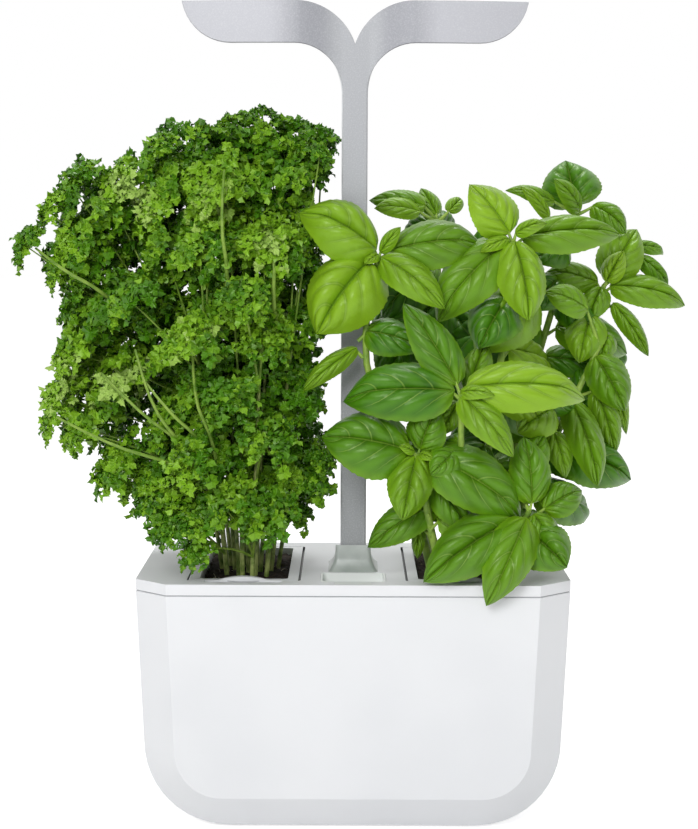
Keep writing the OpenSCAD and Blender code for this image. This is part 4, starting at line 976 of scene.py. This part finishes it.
# heads that the photograph shows: place and width
parsleyHeads = (
    (-190, -30, 431, 30), (-207, -30, 417, 24), (-224, -30, 393, 30), (-196, -30, 397, 30),
    (-203, -28, 373, 22), (-186, -26, 363, 22), (-165, -20, 435, 28), (-163, -32, 421, 30),
    (-137, -36, 419, 30), (-132, -15, 443, 26), (-108, -10, 457, 26), (-80, 0, 477, 30),
    (-62, 8, 483, 22), (-70, -15, 463, 30), (-36, 10, 473, 30), (-20, 16, 469, 24),
    (-22, -44, 453, 14), (-28, -14, 447, 26), (-50, -20, 453, 30), (-85, -40, 441, 30),
    (-96, -56, 427, 30), (-100, -66, 393, 34), (-56, -60, 395, 34), (-38, -36, 399, 26),
    (-34, -30, 383, 24), (-192, -20, 349, 24), (-196, -30, 321, 30), (-205, -34, 289, 28),
    (-206, -40, 273, 24), (-186, -44, 267, 28), (-164, -54, 243, 34), (-140, -50, 235, 24),
    (-126, -70, 217, 32), (-122, -80, 205, 22), (-110, -86, 206, 26), (-104, -86, 190, 22),
    (-84, -84, 221, 40), (-56, -80, 221, 36), (-60, -78, 209, 28), (-32, -58, 235, 32),
    (-22, -46, 247, 22), (-40, -40, 209, 24), (-110, -84, 333, 36), (-80, -88, 293, 34),
    (-58, -66, 329, 32), (-56, -84, 265, 34), (-32, -36, 303, 24), (-150, -66, 359, 34),
    (-110, -84, 253, 36), (-72, -86, 359, 32),
)
# bare stalks that show on the open side and at the top
parsleyFan = (
    ((-98, -50, 226), (-108, -66, 258), (-138, -82, 278), (-166, -70, 306)),
    ((-100, -50, 232), (-120, -72, 248), (-158, -80, 258), (-198, -58, 276)),
    ((-94, -50, 228), (-112, -70, 258), (-134, -84, 286), (-144, -70, 322)),
    ((-92, -50, 230), (-98, -74, 262), (-120, -84, 280), (-138, -74, 302)),
    ((-90, -50, 232), (-92, -70, 262), (-106, -82, 290), (-106, -72, 326)),
    ((-86, -50, 350), (-82, -72, 372), (-88, -78, 404), (-86, -58, 440)),
    ((-52, -48, 336), (-54, -64, 358), (-52, -66, 380), (-56, -56, 396)),
    ((-156, -40, 346), (-170, -52, 362), (-192, -54, 372), (-214, -38, 388)),
)
# an oval that the front fronds leave open: its middle across and up, then half its width and height
fanOpening = (-146, 282, 26, 22)
# bushes inside the mass: height, left end, right end, how many
parsleyLayers = (
    (449, -110, -58, 2), (403, -186, -56, 3), (349, -180, -56, 3), (295, -176, -56, 3), (243, -128, -58, 2),
)
bushRows = {"front": -26, "back": 40, "width": 74}
# fronds of a head and of a bush: how many, how far their heart lies inside, how they rise outward
headForm = {"fronds": 7, "sink": 0.12, "dome": -0.3}
bushForm = {"fronds": 14, "sink": 0.45, "dome": 0.55}
crown = {
    "lift": 0.16, "liftChange": (-0.05, 0.09), "turn": 2.4, "turnChange": 0.6, "flare": 1.1,
    "upward": (0, -0.15, 0.3), "headReach": (0.32, 0.42), "leastReach": 7.0, "bushReach": (12, 16.5),
}
# single fronds between the heads, one in each cell of a grid; the front ones bulge in the middle
innerGrid = {
    "left": -204, "foot": 186, "right": -16, "columns": 18, "rows": 26, "cell": 11.0, "place": (0.1, 0.9),
    "cover": 0.46, "back": (2, 30), "front": (-30, -4), "bulge": 46, "bulgeAcross": (-85, 100),
    "bulgeUp": (470, 90), "sway": 25, "reach": (11, 14),
}
twigForm = {"above": 22, "below": 40, "top": 8, "share": 0.45, "arch": 9.0, "into": 0.3}
# the range of tints, the depth from which fronds are darker by painted shade, and the length over which they
# darken
parsleyTone = {"toneAndLight": (0.16, 0.56), "front": -20, "depth": 120}
leafletForm = {
    "points": 24, "lobes": 3, "waist": 0.30, "lobe": 0.58, "fullness": 0.45, "tooth": 0.13,
    "center": 0.42, "uneven": (0.92, 1.08), "jag": (-0.9, 0.9), "droop": 0.8, "lens": 0.035, "hub": 0.05,
}
# reach, turn and size of the leaflets on one twig of a frond
frondLeaflets = (
    (1.0, 0.0, 0.40), (0.78, 0.8, 0.36), (0.78, -0.8, 0.36), (0.52, 0.9, 0.36), (0.52, -0.9, 0.36),
    (0.28, 1.0, 0.32), (0.28, -1.0, 0.32),
)
frondForm = {
    "leans": (-1.05, 0.0, 1.05), "leanChange": 0.15, "toneAndLight": (-0.22, 0.25), "size": (0.85, 1.15),
    "arch": 0.22, "rise": (-0.05, 0.08), "turnChange": 0.25, "nod": (-1.0, 0.5), "roll": 0.7,
}


# a leaflet about one unit long: three toothed lobes, curled, closed like a thin lens
def leafletMaster(name, seed, curl):
    rng = random.Random(seed)
    deselectAll()
    rim = leafletForm["points"]
    bpy.ops.mesh.primitive_circle_add(vertices=rim, radius=1, fill_type="TRIFAN", location=(0, 0, 0))
    leaflet = bpy.context.object
    leaflet.name = name
    bpy.ops.object.mode_set(mode="EDIT")
    bpy.ops.mesh.select_all(action="SELECT")
    bpy.ops.mesh.duplicate()
    bpy.ops.mesh.flip_normals()
    bpy.ops.object.mode_set(mode="OBJECT")
    places = points(leaflet.data)
    half = len(places) // 2
    angle = np.arctan2(places[:, 1], places[:, 0])
    turn = (angle / (2 * np.pi) + 0.25) % 1.0  # 0 at the leaflet's foot
    hub = np.linalg.norm(places[:, :2], axis=1) < 0.01
    lobe = np.abs(np.sin(np.pi * leafletForm["lobes"] * np.clip((turn - 0.05) / 0.9, 0, 1)))
    tooth = 1 - leafletForm["tooth"] * (np.round(turn * rim) % 2)
    uneven = np.array([rng.uniform(*leafletForm["uneven"]) for _ in range(half)] * 2)
    reach = (leafletForm["waist"] + leafletForm["lobe"] * lobe ** leafletForm["fullness"]) * tooth * uneven
    reach = np.where(hub, 0, reach)
    x, y = reach * np.cos(angle), leafletForm["center"] + reach * np.sin(angle)
    jag = np.array([rng.uniform(*leafletForm["jag"]) for _ in range(half)] * 2)
    ruffle = curl * reach * (np.sin(angle * 3 + seed) + jag) - leafletForm["droop"] * curl * reach ** 2
    upper = np.arange(len(places)) < half
    lens = np.where(hub, np.where(upper, leafletForm["lens"], -leafletForm["lens"]) + leafletForm["hub"], 0)
    movePoints(leaflet.data, np.stack([x, y, ruffle + lens], 1))
    bpy.ops.object.mode_set(mode="EDIT")
    bpy.ops.mesh.select_all(action="SELECT")
    bpy.ops.mesh.remove_doubles(threshold=0.0005)
    bpy.ops.mesh.normals_make_consistent(inside=False)
    bpy.ops.object.mode_set(mode="OBJECT")
    return leaflet


# a frond of one unit reach: leaflets on three twigs, in a shallow umbrella
def frondMaster(name, leaflets, seed):
    rng = random.Random(seed)
    pieces = []
    for twig, lean in enumerate(frondForm["leans"]):
        lean += rng.uniform(-frondForm["leanChange"], frondForm["leanChange"])
        for reach, turn, size in frondLeaflets:
            if twig != 1 and reach < 0.6 and turn * lean < 0:
                continue
            piece = ownCopy(rng.choice(leaflets), "leaflet")
            setToneAndLight(piece.data, rng.uniform(*frondForm["toneAndLight"]))
            size *= rng.uniform(*frondForm["size"])
            foot = reach - leafletForm["center"] * size
            height = -frondForm["arch"] * foot * foot + rng.uniform(*frondForm["rise"])
            place = Vector((foot * math.sin(lean), foot * math.cos(lean), height))
            change = rng.uniform(-frondForm["turnChange"], frondForm["turnChange"])
            spin = Matrix.Rotation(-lean - turn + change, 4, "Z")
            nod = Matrix.Rotation(rng.uniform(*frondForm["nod"]), 4, "X")
            roll = Matrix.Rotation(rng.uniform(-frondForm["roll"], frondForm["roll"]), 4, "Y")
            piece.data.transform(Matrix.Translation(place) @ spin @ nod @ roll @ Matrix.Scale(size, 4))
            pieces.append(piece)
    return joined(pieces, name)


# how far the stalks spread across and back, at the soil, just above it and at their tops
stalkSpread = ((21, 46), (26, 50), (46, 52))


def parsleyStalks():
    heights = (parsley["soilTop"], parsley["soilTop"] + 34, parsley["stalkTop"])
    stalks = []
    for i in range(parsley["stalkCount"]):
        a = math.radians(goldenTurn * i)
        r = math.sqrt((i + 0.5) / parsley["stalkCount"])
        stalks.append([(parsley["middle"] + across * r * math.cos(a), -1 + back * r * math.sin(a), height)
                       for (across, back), height in zip(stalkSpread, heights)])
    return stalks


def bushHeads():
    heads = []
    for height, left, right, count in parsleyLayers:
        for row, shift in ((bushRows["front"], 0), (bushRows["back"], 0.2)):
            for i in range(count):
                x = left + (right - left) * (i + shift) / (count - 1)
                y = row + 6 * math.sin(math.radians(110 * i + height))
                z = height + 8 * math.sin(math.radians(70 * i))
                heads.append((min(x, right), y, z, bushRows["width"]))
    return heads


def leanOf(head):
    return unit(np.array((head[0] - parsley["middle"], head[1] - 20, 70.0)))


# painted light where the photograph's fronds are lighter: place across and up, reach, how much lighter
parsleySun = (
    (-90, 426, 26, 0.55), (-57, 396, 24, 0.5), (-160, 430, 16, 0.95), (-140, 420, 14, 0.8),
    (-196, 300, 26, 0.45), (-150, 300, 14, 0.6), (-168, 290, 56, 0.28), (-190, 400, 40, 0.2),
    (-110, 330, 22, 0.3), (-60, 330, 20, 0.25), (-120, 240, 24, 0.2),
)
parsleyLook = {
    "deep": (0.014, 0.070, 0.001, 1), "leaf": (0.066, 0.215, 0.003, 1), "bright": (0.23, 0.45, 0.018, 1),
    "pale": (0.36, 0.54, 0.11, 1), "stem": (0.48, 0.56, 0.18, 1), "stemDark": (0.10, 0.19, 0.02, 1),
    "twig": (0.26, 0.40, 0.06, 1), "twigDark": (0.12, 0.24, 0.02, 1), "shine": (0.8, 1.0, 0.5, 1),
    "specular": 0.4, "coat": 0.2, "roughness": 0.3, "uneven": 0.25,
}


def parsleyPaint():
    look = Recipe("parsleyLeaf", specular=parsleyLook["specular"], coat=parsleyLook["coat"],
                  shine=parsleyLook["shine"])
    toneAndLight = look.node("ShaderNodeAttribute", {"attribute_name": "toneAndLight"}, output=2)
    color = look.blend(look.step(look.noise(90), 0.2, 0.6), parsleyLook["deep"], parsleyLook["leaf"])
    # the per-frond tone holds random tone plus painted light and painted shade; bright comes from both, pale
    # only from the painted light
    color = look.blend(look.step(toneAndLight, 0.25, 0.75), color, parsleyLook["bright"])
    color = look.blend(look.step(toneAndLight, 0.85, 1.0), color, parsleyLook["pale"])
    rough = parsleyLook["roughness"] + parsleyLook["uneven"] * look.noise(400, 2)
    look.feed(Base_Color=color, Roughness=rough)
    return look.bump(look.noise(450, 4), 0.5, 0.0006).material


# places for fronds on the heads, each with its lean, reach and whether a twig carries it
def headSpots(rng):
    spots = []
    for head in list(parsleyHeads) + bushHeads():
        width = head[3]
        bush = width == bushRows["width"]
        form = bushForm if bush else headForm
        lean = leanOf(head)
        right = unit(np.cross(lean, (0.2, 1, 0.1)))
        upward = np.cross(right, lean)
        heart = np.array(head[:3]) - lean * width * form["sink"]
        for k in range(form["fronds"]):
            a = k * crown["turn"] + rng.uniform(0, crown["turnChange"])
            r = math.sqrt((k + 0.2) / form["fronds"]) * 0.5 * width
            side = right * math.cos(a) + upward * math.sin(a)
            climb = crown["lift"] + form["dome"] * r / width + rng.uniform(*crown["liftChange"])
            spot = heart + side * r + lean * width * climb
            if bush:
                reach = rng.uniform(*crown["bushReach"])
            else:
                reach = max(crown["leastReach"], width * rng.uniform(*crown["headReach"]))
            outward = unit(lean + side * crown["flare"] * r / (0.5 * width) + np.array(crown["upward"]))
            spots.append((spot, outward, reach, not bush and k == 0))
    return spots


def frontBulge(x, z):
    middle, reach = innerGrid["bulgeAcross"]
    top, fall = innerGrid["bulgeUp"]
    return max(0.0, 1 - abs(x - middle) / reach) * min(1.0, max(0.0, (top - z) / fall))


# fronds between the heads close the mass, in one layer in front and one behind, where a head covers them
def innerSpots(rng):
    heads = list(parsleyHeads) + bushHeads()
    openX, openZ, openWidth, openHeight = fanOpening
    cell, sway = innerGrid["cell"], innerGrid["sway"]
    low, high = innerGrid["front"]
    spots = []
    for layer, i, k in itertools.product((0, 1), range(innerGrid["columns"]), range(innerGrid["rows"])):
        x = innerGrid["left"] + cell * (i + rng.uniform(*innerGrid["place"]))
        z = innerGrid["foot"] + cell * (k + rng.uniform(*innerGrid["place"]))
        covered = any(math.hypot(x - h[0], z - h[2]) < innerGrid["cover"] * h[3] for h in heads)
        if x > innerGrid["right"] or not covered:
            continue
        if layer == 0 and math.hypot((x - openX) / openWidth, (z - openZ) / openHeight) < 1:
            continue
        if layer:
            y = rng.uniform(*innerGrid["back"])
        else:
            y = rng.uniform(low - innerGrid["bulge"] * frontBulge(x, z), high)
        drift = np.array([rng.uniform(-sway, sway) for _ in range(3)])
        lean = unit(np.array(((x - parsley["middle"]) * 0.6, -30 + y * 0.4, 45.0)) + drift)
        spots.append((np.array((x, y, z)), lean, rng.uniform(*innerGrid["reach"]), False))
    return spots


# a twig from the nearest stalk to the heart of a frond
def twigTo(spot, lean, reach, stalks):
    low = max(parsley["soilTop"] + twigForm["above"], spot[2] - twigForm["below"])
    joint = min(low, parsley["stalkTop"] - twigForm["top"])
    near = min((onStem(line, joint) for line in stalks), key=lambda p: np.linalg.norm(p - spot))
    heart = spot - lean * reach * twigForm["into"]
    share = twigForm["share"]
    middle = (1 - share) * near + share * heart + np.array((0, 0, twigForm["arch"]))
    return [near, middle, heart], *parsley["twig"]


def growParsley():
    rng = random.Random(11)
    masters = ((1, 0.24), (2, 0.36), (3, 0.46))
    leaflets = [leafletMaster("leafletMaster", seed, curl) for seed, curl in masters]
    fronds = [frondMaster("frondMaster", leaflets, seed) for seed in (21, 22, 23, 24)]
    shapes = [points(f.data) for f in fronds]
    stalks = parsleyStalks()
    twigs = []
    pieces = []
    for spot, lean, reach, held in headSpots(rng) + innerSpots(rng):
        pick = rng.randrange(len(fronds))
        piece = ownCopy(fronds[pick], "frond")
        spin = rng.uniform(0, 2 * math.pi)
        right = unit(np.cross(lean, (math.cos(spin), math.sin(spin), 0.13)))
        upward = np.cross(lean, right)
        x, y, z = shapes[pick].T
        places = spot + reach * (np.outer(x, right) + np.outer(y - 0.25, upward) + np.outer(z, lean))
        movePoints(piece.data, places * mm)
        # painted shade: fronds further back are darker; painted light where the parsley sun table lies
        dark = max(0.0, spot[1] - parsleyTone["front"]) / parsleyTone["depth"]
        addToneAndLight(piece.data, rng.uniform(*parsleyTone["toneAndLight"]) + sunOn(spot, parsleySun) - dark)
        pieces.append(piece)
        if held:
            twigs.append(twigTo(spot, lean, reach, stalks))
    discard(leaflets + fronds)
    paint = parsleyPaint()
    shares = parsley["foliagePieces"]
    for share in range(shares):
        group = pieces[len(pieces) * share // shares:len(pieces) * (share + 1) // shares]
        foliage = joined(group, "parsleyFoliage" + str(share + 1))
        finishPiece(foliage, paint, "parsley_plant", angle=35)
    stalkRows = [(line, *parsley["stalk"]) for line in stalks]
    twigs += [(line, *parsley["fanStalk"]) for line in parsleyFan]
    stem = stemPaint("parsleyStem", parsleyLook["stem"], parsleyLook["stemDark"])
    finishPiece(stalkPiece("parsleyStalks", stalkRows, sides=1), stem, "parsley_plant")
    twig = stemPaint("parsleyTwig", parsleyLook["twig"], parsleyLook["twigDark"])
    finishPiece(stalkPiece("parsleyTwigs", twigs, sides=1), twig, "parsley_plant")


growParsley()
print("stage: parsley")


def setFloor():
    deselectAll()
    bpy.ops.mesh.primitive_plane_add(size=lightSetup["floorSize"], location=(0, 0, 0))
    floor = bpy.context.object
    floor.name = "floor"
    look = Recipe("floorPaint", roughness=0.9)
    nodes, links = look.tree.nodes, look.tree.links
    matt = nodes.new("ShaderNodeBsdfDiffuse")
    matt.inputs["Color"].default_value = lightSetup["floorColor"]
    glow = nodes.new("ShaderNodeEmission")
    glow.inputs["Strength"].default_value = lightSetup["floorGlow"]
    both = nodes.new("ShaderNodeAddShader")
    links.new(matt.outputs[0], both.inputs[0])
    links.new(glow.outputs[0], both.inputs[1])
    pick = nodes.new("ShaderNodeMixShader")
    links.new(rayShare(look.tree, ("Is Camera Ray", "Is Glossy Ray", "Is Transmission Ray")), pick.inputs[0])
    links.new(matt.outputs[0], pick.inputs[1])
    links.new(both.outputs[0], pick.inputs[2])
    links.new(pick.outputs[0], nodes["Material Output"].inputs["Surface"])
    floor.data.materials.append(look.material)


setFloor()
